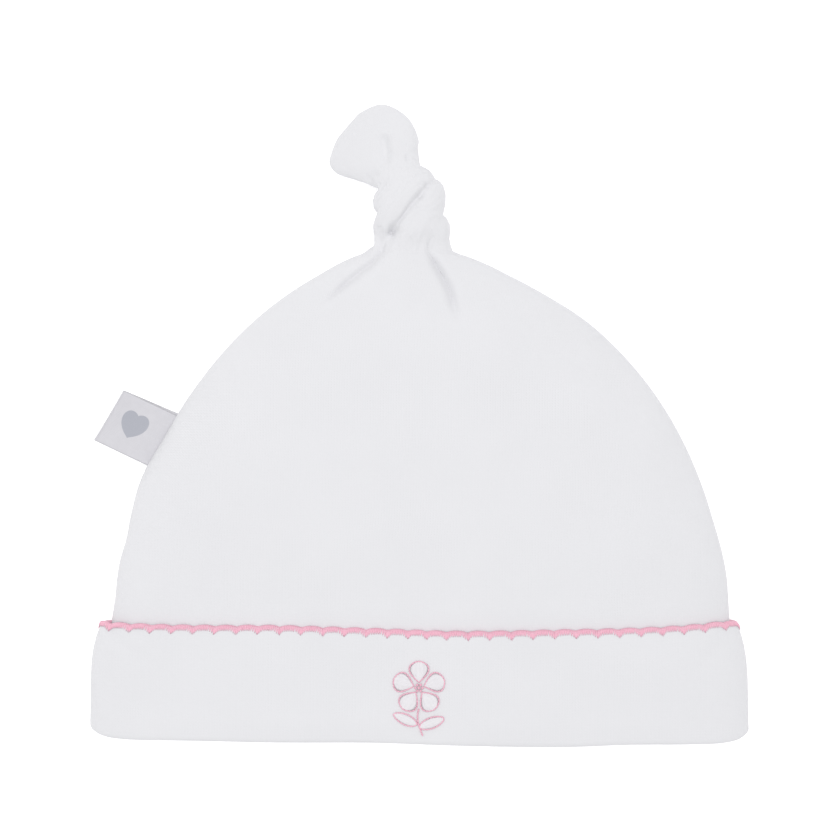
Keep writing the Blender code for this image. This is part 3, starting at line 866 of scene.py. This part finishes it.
def knit_of(face, layer):
    """The UV map's place and its two directions on a face."""
    corners = list(face.loops)[:3]
    a, b, c = (corner.vert.co for corner in corners)
    ua, ub, uc = (corner[layer].uv for corner in corners)
    first = b - a
    second = c - a
    du1, dv1 = ub - ua
    du2, dv2 = uc - ua
    turn = du1 * dv2 - du2 * dv1
    if abs(turn) < 1e-12:
        return Knit(a.copy(), ua.copy(), Vector(), Vector())
    across = (first * dv2 - second * dv1) / turn
    along = (second * du1 - first * du2) / turn
    return Knit(a.copy(), ua.copy(), across / across.length_squared, along / along.length_squared)


def place_in_knit(knit, point):
    offset = point - knit.middle
    return knit.place.x + offset.dot(knit.across), knit.place.y + offset.dot(knit.along)


KNOT_GRAIN = 0.27 * MM
PLEAT_PITCH = 2.3 * MM
PLEAT_DEPTH = 0.10 * MM
# How far the pleats wander, as a share of their pitch, and over which distances round and along the strand
PLEAT_WANDER = 0.6
PLEAT_WANDER_ROUND = 3 * MM
PLEAT_WANDER_ALONG = 12 * MM
TIP_SMOOTH_LOW = 72 * MM
TIP_SMOOTH_HIGH = 78 * MM
BAND_LOW = Vector((-6.8, 48.2)) * MM
BAND_HIGH = Vector((1.8, 59.0)) * MM
CREASE_END = Vector((-6.3, 49.3)) * MM
CREASE_END_REACH = 1.3 * MM
# The knot's front faces up at least this much and lies above this height; where it faces up more, folds are
# fully pressed in
FACING_UP = 0.2
FRONT_HEIGHT = 7 * MM
FULLY_UP = 0.6

# The gathered front is puffed out evenly, the more so the further it lies from the band's edge and the tip
Zone = namedtuple("Zone", "start passes")
CALM_ZONES = table(Zone, (0.35, 12), (0.8, 30), (1.4, 60), (2.2, 90))
SEAM_PASSES = 5
CREASE_END_PASSES = 14
TIP_START = 74 * MM


def calmness(point):
    """How far a point lies from the front band's edge, as the camera sees it, or from the tip."""
    edge = (BAND_HIGH - BAND_LOW).normalized()
    from_low = Vector((point.x, point.y)) - BAND_LOW
    return min(abs(from_low.x * edge.y - from_low.y * edge.x), (TIP_START - point.y) / 2)


def smooth(cloth, verts, passes):
    axes = {"use_axis_x": True, "use_axis_y": True, "use_axis_z": True}
    for k in range(passes):
        bmesh.ops.smooth_vert(cloth, verts=verts, factor=0.5, **axes)


HIGH_ABOVE = 50 * MM


def seen_from_above(surface, x, y):
    """The place and the normal of a surface where one looks straight down on it."""
    return surface.ray_cast(Vector((x, y, HIGH_ABOVE)), DOWN)[:2]


SETTLE_LOW = 43.0 * MM
SETTLE_HIGH = 49.0 * MM
SETTLE_DIP = 4 * MM
SETTLE_FACING = 0.1
DEEPEST = 0.9 * MM
SHALLOWEST = 0.04 * MM


def settle_on_crown(cloth, crown):
    """Let the knot's front run down into the crown without a step: below the neck it dips just under the
    crown's own surface, and higher up it leaves that surface slowly."""
    surface = BVHTree.FromObject(crown, bpy.context.evaluated_depsgraph_get())
    for v in cloth.verts:
        if v.normal.z < SETTLE_FACING or v.co.y > SETTLE_HIGH:
            continue
        place, normal = seen_from_above(surface, v.co.x, min(v.co.y, SETTLE_LOW))
        if place is None or place.z < v.co.z - SETTLE_DIP:
            continue
        sunk = SHALLOWEST + DEEPEST * (1 - ease(v.co.y, SETTLE_LOW - SETTLE_DIP, SETTLE_LOW))
        v.co.z = blend(place.z - sunk, v.co.z, ease(v.co.y, SETTLE_LOW, SETTLE_HIGH))


def pressed_together(shape):
    """One closed skin round all passes of a strand."""
    loose = add_piece("loose_knot", shape)
    grain = loose.modifiers.new("pressed together", "REMESH")
    grain.mode = "VOXEL"
    grain.voxel_size = KNOT_GRAIN
    view = bpy.context.evaluated_depsgraph_get()
    mesh = bpy.data.meshes.new_from_object(loose.evaluated_get(view))
    bpy.data.objects.remove(loose)
    cloth = bmesh.new()
    cloth.from_mesh(mesh)
    bpy.data.meshes.remove(mesh)
    return cloth


def pleat_push(knit, point):
    """How far the pleats along the strand push a point out."""
    u, along = place_in_knit(knit, point)
    uneven = noise.noise(Vector((u / PLEAT_WANDER_ROUND, along / PLEAT_WANDER_ALONG, 4.2)))
    pleat = cos(2 * pi * (u / PLEAT_PITCH + PLEAT_WANDER * uneven)) * (0.5 + 0.5 * uneven)
    push = PLEAT_DEPTH * pleat
    if point.y > BAND_HIGH.y:
        push *= 1 - ease(point.y - point.x, TIP_SMOOTH_LOW, TIP_SMOOTH_HIGH)
    return push


def make_knot(crown):
    """The knotted top and its tip are one gathered cloth: the strand's passes are pressed together, the
    creases are eased, and the knit is laid back on from the strand."""
    parts = [strand(rows) for rows in KNOT_PASSES]
    parts.append(tail_cloth())
    joined = bmesh.new()
    for part in parts:
        join_into(joined, part)
    layer = joined.loops.layers.uv["cloth"]
    knits = [knit_of(face, layer) for face in joined.faces]
    tree = BVHTree.FromBMesh(joined)
    cloth = pressed_together(joined)
    smooth(cloth, list(cloth.verts), SEAM_PASSES)
    cloth.normal_update()
    front = [(v, calmness(v.co)) for v in cloth.verts if v.normal.z > FACING_UP and v.co.z > FRONT_HEIGHT]
    for zone in CALM_ZONES:
        smooth(cloth, [v for v, calm in front if calm > zone.start * MM], zone.passes)
    settle_on_crown(cloth, crown)
    cloth.normal_update()
    moves = []
    for v in cloth.verts:
        move = v.normal * pleat_push(knits[tree.find_nearest(v.co)[2]], v.co)
        if v.normal.z > FACING_UP:
            x = v.co.x / MM
            y = v.co.y / MM
            pressed = fold_depth(KNOT_FOLDS, x, y) * ease(v.normal.z, FACING_UP, FULLY_UP)
            pressed += fold_depth(CROWN_FOLDS, x, y) * ease(v.co.y, SETTLE_LOW, SETTLE_HIGH)
            move += DOWN * pressed * MM
        moves.append(move)
    for v, move in zip(cloth.verts, moves):
        v.co += move
    near_end = [v for v in cloth.verts if (v.co.xy - CREASE_END).length < CREASE_END_REACH]
    smooth(cloth, [v for v in near_end if v.co.z > FRONT_HEIGHT], CREASE_END_PASSES)
    layer = cloth.loops.layers.uv.new("cloth")
    for face in cloth.faces:
        knit = knits[tree.find_nearest(face.calc_center_median())[2]]
        for corner in face.loops:
            corner[layer].uv = place_in_knit(knit, corner.vert.co)
    return add_piece("knot_cloth", cloth)


def new_threads():
    threads = bmesh.new()
    threads.loops.layers.uv.new("thread")
    return threads


def lay_stitch(threads, start, middle, end, thickness, up, bluntness=0.6):
    """One stitch of thread: a blunt spindle that bends through three points."""
    made = bmesh.ops.create_uvsphere(threads, u_segments=6, v_segments=7, radius=1.0, calc_uvs=True)
    for v in made["verts"]:
        share = acos(max(-1.0, min(v.co.z, 1.0))) / pi
        first = start.lerp(middle, share)
        second = middle.lerp(end, share)
        ahead = (second - first).normalized()
        side = ahead.cross(up).normalized()
        out = side.cross(ahead)
        fullness = max(hypot(v.co.x, v.co.y), 1e-6) ** (bluntness - 1)
        v.co = first.lerp(second, share) + (side * v.co.x + out * v.co.y) * fullness * thickness / 2


EDGE_THREAD = 0.58 * MM
STITCHES_IN_SCALLOP = 13
EDGE_STITCH = 1.10 * MM
POINT_STITCH = 1.75 * MM
# A scallop's point is this many stitches wide on each side, and the stitches beside it lean towards it
POINT_HALF_WIDTH = 3.2
LEANING_STITCHES = 4
LEAN_STEP = 0.06 * MM
UNEVENNESS = 0.04
STITCH_PROUD = 0.12 * MM
STITCH_TOP = 0.75 * MM
TOP_HALF_WIDTH = 0.55 * MM
EDGE_HALF_WIDTH = 0.5 * MM
EDGE_OVERLAP = 0.1 * MM
BACK_STITCH = 0.8 * MM
LOWEST = 0.02 * MM


def make_scallop_stitching(edge, below, places):
    """Satin stitches over the cuff's edge, with longer ones at each scallop's point that draw it in."""
    threads = new_threads()
    scallop = new_threads()

    def finish_scallop():
        for v in scallop.verts:
            v.co.z = max(v.co.z, LOWEST)
        join_into(threads, scallop)

    shaker = random.Random(5)
    k = 0
    first = ceil(places[-1] * STITCHES_IN_SCALLOP)
    last = ceil(places[0] * STITCHES_IN_SCALLOP)
    for n in reversed(range(first, last)):
        beyond = n % STITCHES_IN_SCALLOP
        if beyond == 0:
            finish_scallop()
            scallop = new_threads()
        place = n / STITCHES_IN_SCALLOP
        while places[k + 1] > place:
            k += 1
        share = (places[k] - place) / (places[k] - places[k + 1])
        here = edge[k].lerp(edge[k + 1], share)
        ahead = (edge[k + 1] - edge[k]).normalized()
        down = (below[k] - edge[k]).normalized()
        outward = ahead.cross(down).normalized()
        from_point = min(beyond, STITCHES_IN_SCALLOP - beyond)
        longer = max(1 - (from_point / POINT_HALF_WIDTH) ** 2, 0.0)
        reach = EDGE_STITCH + (POINT_STITCH - EDGE_STITCH) * longer
        reach += shaker.uniform(-UNEVENNESS, UNEVENNESS) * MM
        signed = beyond if beyond <= STITCHES_IN_SCALLOP / 2 else beyond - STITCHES_IN_SCALLOP
        to_point = ahead * signed / STITCHES_IN_SCALLOP * SCALLOP_PITCH
        slant = to_point * 0.5 * max(1 - from_point / LEANING_STITCHES, 0.0)
        slant += ahead * LEAN_STEP * min(from_point, LEANING_STITCHES)
        wall = outward * (CLOTH / 2 + STITCH_PROUD)
        top = here - down * STITCH_TOP
        half_top = outward * TOP_HALF_WIDTH
        half_edge = outward * EDGE_HALF_WIDTH
        front = (here + down * reach + wall + slant, top + half_top, here - half_edge)
        back_end = here + down * BACK_STITCH - wall - slant
        back = (here + half_edge - down * EDGE_OVERLAP, top - half_top, back_end)
        lay_stitch(scallop, *front, EDGE_THREAD, outward)
        lay_stitch(scallop, *back, EDGE_THREAD, outward)
    finish_scallop()
    return add_piece("scallop_stitching", threads)


# The flower sprig on the cuff, in millimetres from its middle. Fullness above 1 moves a shape's widest place
# away from its base
SPRIG_PLACE = Vector((-0.13, -67.8)) * MM
FLOWER_MIDDLE = Vector((0.0, 2.9))
PETALS = 5
PETAL_START = 1.4
PETAL_LENGTH = 5.2
PETAL_WIDTH = 5.0
PETAL_FULLNESS = 1.5
SHAPE_ROUNDNESS = 0.6
STEM = [(0.0, -2.2), (-0.4, -3.8), (-0.2, -6.0), (0.9, -8.9)]
# Each leaf's start, lean, length and width
LEAVES = [((-0.5, -6.2), 66, 6.4, 2.6), ((0.1, -6.9), -70, 6.6, 2.7)]
LEAF_FULLNESS = 0.9
OUTLINE_MARKS = 14
STEM_STITCH = 0.9
SATIN_PITCH = 0.27
SATIN_REACH = 0.05
SATIN_LEAST = 0.3
SATIN_TILT = 0.18
KNOTS = 7
KNOT_CIRCLE = 0.85
KNOT_HALF_WIDTH = 0.36 * MM
KNOT_THREAD = 0.8 * MM
THREAD = 0.40 * MM
# How high the middles of the threads lie over the cloth
STEM_HEIGHTS = (0.08 * MM, 0.34 * MM, 0.12 * MM)
SATIN_HEIGHTS = (0.08 * MM, 0.22 * MM, 0.08 * MM)
FLOWER_KNOT_HEIGHT = 0.30 * MM


def make_embroidery(cuff):
    """A small flower sprig: padded satin stitch inside, and stem stitch round each petal and leaf."""
    tree = BVHTree.FromObject(cuff, bpy.context.evaluated_depsgraph_get())
    outline = new_threads()
    fill = new_threads()

    def on_cloth(x, y, height):
        place, normal = seen_from_above(tree, SPRIG_PLACE.x + x * MM, SPRIG_PLACE.y + y * MM)
        return place + normal * height

    def stitch_on_cloth(threads, points, heights, thickness, bluntness=0.6):
        lay_stitch(threads, *(on_cloth(*p, h) for p, h in zip(points, heights)), thickness, UP, bluntness)

    def stem_stitch(path, thickness=THREAD):
        length = sum(dist(a, b) for a, b in pairwise(path))
        count = max(round(length / STEM_STITCH), 2)
        marks = []
        for n in range(count + 1):
            wanted = length * n / count
            k = 0
            while k < len(path) - 2 and dist(path[k], path[k + 1]) < wanted:
                wanted -= dist(path[k], path[k + 1])
                k += 1
            share = min(wanted / dist(path[k], path[k + 1]), 1.0)
            marks.append([blend(a, b, share) for a, b in zip(path[k], path[k + 1])])
        for a, b in pairwise(marks):
            ahead = [blend(p, q, 1.25) for p, q in zip(a, b)]
            middle = [blend(p, q, 0.6) for p, q in zip(a, b)]
            stitch_on_cloth(outline, (a, middle, ahead), STEM_HEIGHTS, thickness)

    def satin_shape(base, lean, length, width, fullness):
        ahead = heading(lean)
        side = Vector((ahead.y, -ahead.x))

        def half_width(share):
            return width / 2 * max(sin(pi * share ** fullness), 0.0) ** SHAPE_ROUNDNESS

        shares = [(1 - cos(pi * k / OUTLINE_MARKS)) / 2 for k in range(OUTLINE_MARKS + 1)]
        left = [base + ahead * length * t - side * half_width(t) for t in shares]
        right = [base + ahead * length * t + side * half_width(t) for t in shares]
        stem_stitch([tuple(p) for p in left + right[::-1][1:]])
        for n in range(1, round(length / SATIN_PITCH)):
            along = n * SATIN_PITCH
            half = half_width(along / length) + SATIN_REACH
            if half < SATIN_LEAST:
                continue
            here = base + ahead * along
            tilt = ahead * SATIN_TILT
            points = (here - side * half - tilt, here, here + side * half + tilt)
            stitch_on_cloth(fill, points, SATIN_HEIGHTS, THREAD * 1.05, 0.3)

    for n in range(PETALS):
        lean = 360 * n / PETALS
        base = FLOWER_MIDDLE + heading(lean) * PETAL_START
        satin_shape(base, lean, PETAL_LENGTH, PETAL_WIDTH, PETAL_FULLNESS)
    stem_stitch(STEM, THREAD * 1.15)
    for base, lean, length, width in LEAVES:
        satin_shape(Vector(base), lean, length, width, LEAF_FULLNESS)
    for n in range(KNOTS):
        circle = KNOT_CIRCLE if n else 0.0
        x = FLOWER_MIDDLE.x + circle * cos(n * pi / 3)
        y = FLOWER_MIDDLE.y + circle * sin(n * pi / 3)
        middle = on_cloth(x, y, FLOWER_KNOT_HEIGHT)
        across = Vector((KNOT_HALF_WIDTH, 0, 0))
        lay_stitch(outline, middle - across, middle + UP * 0.1 * MM, middle + across, KNOT_THREAD, UP, 0.8)
    return add_piece("sprig_outline", outline), add_piece("sprig_satin", fill)


RIBBON = 0.32 * MM
RIBBON_GAP = 0.34 * MM
LABEL_ROOT = 2.2 * MM
LAYER_SLIP = 0.6 * MM
FOLD_SKEW = tan(radians(5.5))
RIBBON_COLUMNS = 60
RIBBON_ROWS = 36
# At the seam the layers lie closer together by this share, and they are parted by this share of the length
ROOT_GAP_SHARE = 0.55
PARTED_SHARE = 0.35
LAYER_PUFF = 0.18 * MM
EDGE_CURL = 0.5 * MM


def label_place():
    """Where the label leaves the side seam: X runs out of the seam, Y across the ribbon."""
    rises = (LABEL_RISE, LABEL_RISE + CLEARANCE)
    here, there = (Vector((dome_centre(rise) - dome_half_width(rise), rise, 0)) for rise in rises)
    along = (there - here).normalized()
    outwards = Vector((-along.y, along.x, 0))
    section = smooth_row(DOME_SECTIONS, "rise", (LABEL_RISE - DOME_START) / DOME_HEIGHT)
    root = here + outwards * (CLEARANCE + LABEL_WIDTH / 2 * sin(LABEL_SWING)) + HAT_ORIGIN
    root.z = section.side_fold * CROWN_LOFT
    axes = Matrix((outwards, outwards.cross(DOWN), UP)).transposed()
    place = Matrix.Translation(root) @ Matrix.Rotation(LABEL_SWING, 4, "Z") @ axes.to_4x4()
    return place @ Matrix.Rotation(-LABEL_TILT, 4, "Y")


def make_label():
    """A folded ribbon: two layers that leave the side seam together and part softly at the fold."""
    place = label_place()
    ribbon = bmesh.new()
    bmesh.ops.create_grid(ribbon, x_segments=RIBBON_COLUMNS, y_segments=RIBBON_ROWS, size=1.0)
    layer = ribbon.loops.layers.uv.new("cloth")
    radius = RIBBON_GAP + RIBBON / 2
    leg = LABEL_LENGTH - radius - RIBBON / 2 + LABEL_ROOT
    bend = pi * radius
    length = 2 * leg + bend
    places = {v: ((v.co.x + 1) / 2 * length, v.co.y * LABEL_WIDTH / 2) for v in ribbon.verts}
    for face in ribbon.faces:
        for corner in face.loops:
            run, side = places[corner.vert]
            corner[layer].uv = (run - length / 2, side)
    for v, (run, side) in places.items():
        if run < leg:
            out = run
            up = -radius
        elif run > leg + bend:
            out = length - run
            up = radius
        else:
            angle = (run - leg) / radius
            out = leg + radius * sin(angle)
            up = -radius * cos(angle)
        out -= LABEL_ROOT
        share = min(max(out / LABEL_LENGTH, 0.0), 1.0)
        side -= LAYER_SLIP * max(1 - 2 * run / length, 0.0)
        out += share * side * FOLD_SKEW
        up *= ROOT_GAP_SHARE + (1 - ROOT_GAP_SHARE) * ease(share, 0.0, PARTED_SHARE)
        if abs(up) > radius * 0.5:
            up += LAYER_PUFF * sin(pi * share) * copysign(1, up)
        curl = EDGE_CURL * share ** 2 * (2 * side / LABEL_WIDTH) ** 2
        v.co = place @ Vector((out, side, up + curl))
    bmesh.ops.recalc_face_normals(ribbon, faces=ribbon.faces)
    return add_sheet("label_ribbon", ribbon, RIBBON)


def linear(hex_colour):
    """An sRGB hex colour as linear red, green, blue and alpha."""
    channels = [int(hex_colour[k:k + 2], 16) / 255 for k in (1, 3, 5)]
    turned = [c / 12.92 if c <= 0.04045 else ((c + 0.055) / 1.055) ** 2.4 for c in channels]
    return (*turned, 1.0)


def feed(tree, node, inputs):
    """Give a node its inputs: each is a value, another node's socket, or a sum such as ("ADD", first,
    second), whose own terms may be sums."""
    for key, value in inputs.items():
        if isinstance(value, tuple) and isinstance(value[0], str):
            operation, *terms = value
            value = add_node(tree, "Math", dict(enumerate(terms)), operation=operation).outputs[0]
        if isinstance(value, bpy.types.NodeSocket):
            tree.links.new(value, node.inputs[key])
        else:
            node.inputs[key].default_value = value


def add_node(tree, kind, inputs=None, **settings):
    """Add a node with its settings and links."""
    node = tree.nodes.new("ShaderNode" + kind)
    for key, value in settings.items():
        setattr(node, key, value)
    feed(tree, node, inputs or {})
    return node


def new_material(name):
    material = bpy.data.materials.new(name)
    material.use_nodes = True
    return material, material.node_tree, material.node_tree.nodes["Principled BSDF"]


def uneven_colour(tree, dark, light, scale, detail):
    """Dyed cloth or thread isn't quite one colour: two close ones run into each other."""
    place = add_node(tree, "TexCoord").outputs["Object"]
    uneven = add_node(tree, "TexNoise", {"Vector": place, "Scale": scale, "Detail": detail})
    colours = {0: uneven.outputs[0], 6: linear(dark), 7: linear(light)}
    return add_node(tree, "Mix", colours, data_type="RGBA").outputs[2]


# Colours of the cloth and threads, which the studio light brings up to the hat's own white
JERSEY_LIGHT = "#d9d9dc"
JERSEY_DARK = "#d5d5d8"
PINK_LIGHT = "#eab7c8"
PINK_DARK = "#dda4b7"
GREY_THREAD_LIGHT = "#e0dee1"
GREY_THREAD_DARK = "#d8d6da"
RIBBON_LIGHT = "#c7c6cb"
RIBBON_DARK = "#bfbec3"
MOTIF_GREY = "#a0a2ab"

# The knit is finer than this on the hat; it is drawn a little coarser, so that it shows
WALE = 0.80 * MM
COURSE = 0.66 * MM


def jersey_material():
    """White combed cotton, circular knitted: fine columns of stitches, which give a soft, matt and even
    face with a faint upright rib, and a little down that catches the light at the edges."""
    material, tree, shader = new_material("combed_cotton_jersey")
    uv = add_node(tree, "UVMap", uv_map="cloth")
    parts = add_node(tree, "SeparateXYZ", {0: uv.outputs[0]})
    columns = ("DIVIDE", parts.outputs[0], WALE)
    rows = ("DIVIDE", parts.outputs[1], COURSE)
    side = ("ABSOLUTE", ("SUBTRACT", ("MULTIPLY", ("FRACT", columns), 2.0), 1.0))
    leg = ("ABSOLUTE", ("SINE", ("MULTIPLY", columns, 2 * pi)))
    slanted = ("ADD", rows, ("MULTIPLY", side, 0.6))
    loop = ("ABSOLUTE", ("SINE", ("MULTIPLY", slanted, pi)))
    knit = ("MULTIPLY", ("POWER", leg, 0.6), ("ADD", ("MULTIPLY", loop, 0.6), 0.4))
    place = add_node(tree, "TexCoord").outputs["Object"]
    down = add_node(tree, "TexNoise", {"Vector": place, "Scale": 1600.0, "Detail": 3.0}).outputs[0]
    knit_bump = {"Strength": 0.45, "Distance": 0.10 * MM, "Height": knit}
    knitted = add_node(tree, "Bump", knit_bump).outputs[0]
    down_bump = {"Strength": 0.25, "Distance": 0.06 * MM, "Height": down, "Normal": knitted}
    feed(tree, shader, {
        "Base Color": uneven_colour(tree, JERSEY_DARK, JERSEY_LIGHT, 60.0, 3.0),
        "Normal": add_node(tree, "Bump", down_bump).outputs[0],
        "Roughness": 0.92,
        "Specular IOR Level": 0.25,
        "Sheen Weight": 0.10,
        "Sheen Roughness": 0.6,
    })
    return material


def thread_material(name, light, dark):
    """Spun polyester embroidery thread: two plies whose twist shows as slanting lines with a soft gloss."""
    material, tree, shader = new_material(name)
    uv = add_node(tree, "UVMap", uv_map="thread")
    slant = add_node(tree, "Mapping", {"Vector": uv.outputs[0], "Scale": (2.0, 5.0, 1.0)})
    twist = {"Vector": slant.outputs[0], "Scale": 0.6, "Distortion": 0.4}
    plies = add_node(tree, "TexWave", twist, bands_direction="DIAGONAL").outputs["Fac"]
    bump = add_node(tree, "Bump", {"Strength": 0.4, "Distance": 0.05 * MM, "Height": plies})
    feed(tree, shader, {
        "Base Color": uneven_colour(tree, dark, light, 900.0, 2.0),
        "Normal": bump.outputs[0],
        "Roughness": 0.5,
        "Specular IOR Level": 0.4,
        "Sheen Weight": 0.2,
    })
    return material


HEART_SIZE = 3.1 * MM
HEART_PLACE = 7.0 * MM
RIBBON_THREAD = 0.36 * MM


def ribbon_material():
    """Woven polyester satin ribbon: fine warp floats along it, which give a soft sheen, and a small heart
    that is woven in grey on both faces."""
    material, tree, shader = new_material("woven_satin_ribbon")
    uv = add_node(tree, "UVMap", uv_map="cloth")
    parts = add_node(tree, "SeparateXYZ", {0: uv.outputs[0]})
    along, side = parts.outputs[:2]
    x = ("DIVIDE", ("SUBTRACT", ("ABSOLUTE", along), HEART_PLACE), HEART_SIZE)
    y = ("SUBTRACT", 0.05, ("DIVIDE", side, HEART_SIZE))
    x_square = ("MULTIPLY", x, x)
    y_square = ("MULTIPLY", y, y)
    ring = ("SUBTRACT", ("ADD", x_square, y_square), 1.0)
    lobes = ("MULTIPLY", ("MULTIPLY", x_square, y_square), y)
    heart = ("LESS_THAN", ("SUBTRACT", ("POWER", ring, 3.0), lobes), 0.0)
    warp = ("SINE", ("MULTIPLY", side, 2 * pi / RIBBON_THREAD))
    weft = ("SINE", ("MULTIPLY", along, 2 * pi / RIBBON_THREAD * 0.7))
    weave = ("ADD", ("MULTIPLY", warp, 0.7), ("MULTIPLY", weft, 0.3))
    bump = add_node(tree, "Bump", {"Strength": 0.3, "Distance": 0.05 * MM, "Height": weave})
    ground = uneven_colour(tree, RIBBON_DARK, RIBBON_LIGHT, 500.0, 2.0)
    figured = {0: heart, 6: ground, 7: linear(MOTIF_GREY)}
    feed(tree, shader, {
        "Base Color": add_node(tree, "Mix", figured, data_type="RGBA").outputs[2],
        "Normal": bump.outputs[0],
        "Roughness": 0.45,
        "Specular IOR Level": 0.4,
    })
    return material


FLOOR_SIZE = 3.0
FLOOR_DROP = 0.1 * MM


def make_floor():
    sheet = bmesh.new()
    bmesh.ops.create_grid(sheet, x_segments=1, y_segments=1, size=FLOOR_SIZE)
    bmesh.ops.translate(sheet, verts=sheet.verts, vec=DOWN * FLOOR_DROP)
    floor = add_piece("floor", sheet)
    # A matt white acrylic sheet that is lit from behind a little, so the hat's own shadow stays pale on it
    material, tree, shader = new_material("backlit_matt_acrylic")
    feed(tree, shader, {
        "Base Color": linear("#f9f9f9"),
        "Roughness": 0.95,
        "Specular IOR Level": 0.1,
        "Emission Color": linear("#ffffff"),
        "Emission Strength": 0.3,
    })
    floor.data.materials.append(material)


def make_light(name, place, size, power):
    """A soft square light that faces the hat."""
    lamp = bpy.data.lights.new(name, "AREA")
    lamp.size = size
    lamp.energy = power
    holder = add_object(name, lamp)
    holder.location = place
    holder.rotation_euler = (-Vector(place)).to_track_quat("-Z", "Y").to_euler()


def make_studio():
    world = bpy.data.worlds.new("white studio")
    bpy.context.scene.world = world
    world.use_nodes = True
    tree = world.node_tree
    feed(tree, tree.nodes["Background"], {"Color": linear("#ffffff"), "Strength": 0.76})
    make_light("overhead_softbox", (0.0, 0.12, 1.2), 0.9, 7.5)
    make_light("left_softbox", (-1.0, 0.7, 0.7), 0.5, 1.0)
    bpy.context.scene.view_settings.view_transform = "Standard"


PHOTO_PIXELS = 840
PIXEL = 0.2511 * MM
LENS = 100
SENSOR = 36
CAMERA_PLACE = Vector((0.13, 1.26)) * MM
# The level of the hat at which a pixel of the photograph has its size
SCALE_HEIGHT = 4.5 * MM


def make_camera():
    lens = bpy.data.cameras.new("camera")
    lens.lens = LENS
    lens.sensor_width = SENSOR
    camera = add_object("camera", lens)
    distance = PHOTO_PIXELS * PIXEL * LENS / SENSOR
    camera.location = (*CAMERA_PLACE, distance + SCALE_HEIGHT)
    bpy.context.scene.camera = camera


def dress(piece, material, slot, *nodes):
    piece.data.materials.append(material)
    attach(piece, "root")
    if nodes:
        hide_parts(*nodes)


make_studio()
make_camera()
make_floor()
jersey = jersey_material()
pink_thread = thread_material("pink_embroidery_thread", PINK_LIGHT, PINK_DARK)
grey_thread = thread_material("pale_grey_embroidery_thread", GREY_THREAD_LIGHT, GREY_THREAD_DARK)
satin_ribbon = ribbon_material()
crown = make_crown()
cuff, edge_line, line_below, scallops = make_cuff()
knot = make_knot(crown)
trim = make_scallop_stitching(edge_line, line_below, scallops)
sprig_outline, sprig_satin = make_embroidery(cuff)
label = make_label()
dress(crown, jersey, "jersey", "crown")
dress(cuff, jersey, "jersey", "cuff")
dress(knot, jersey, "jersey", "knot", "tail")
dress(trim, pink_thread, "edging_thread", "scallop_trim")
dress(sprig_outline, pink_thread, "edging_thread")
dress(sprig_satin, grey_thread, "jersey")
dress(label, satin_ribbon, "label_ribbon", "side_label")
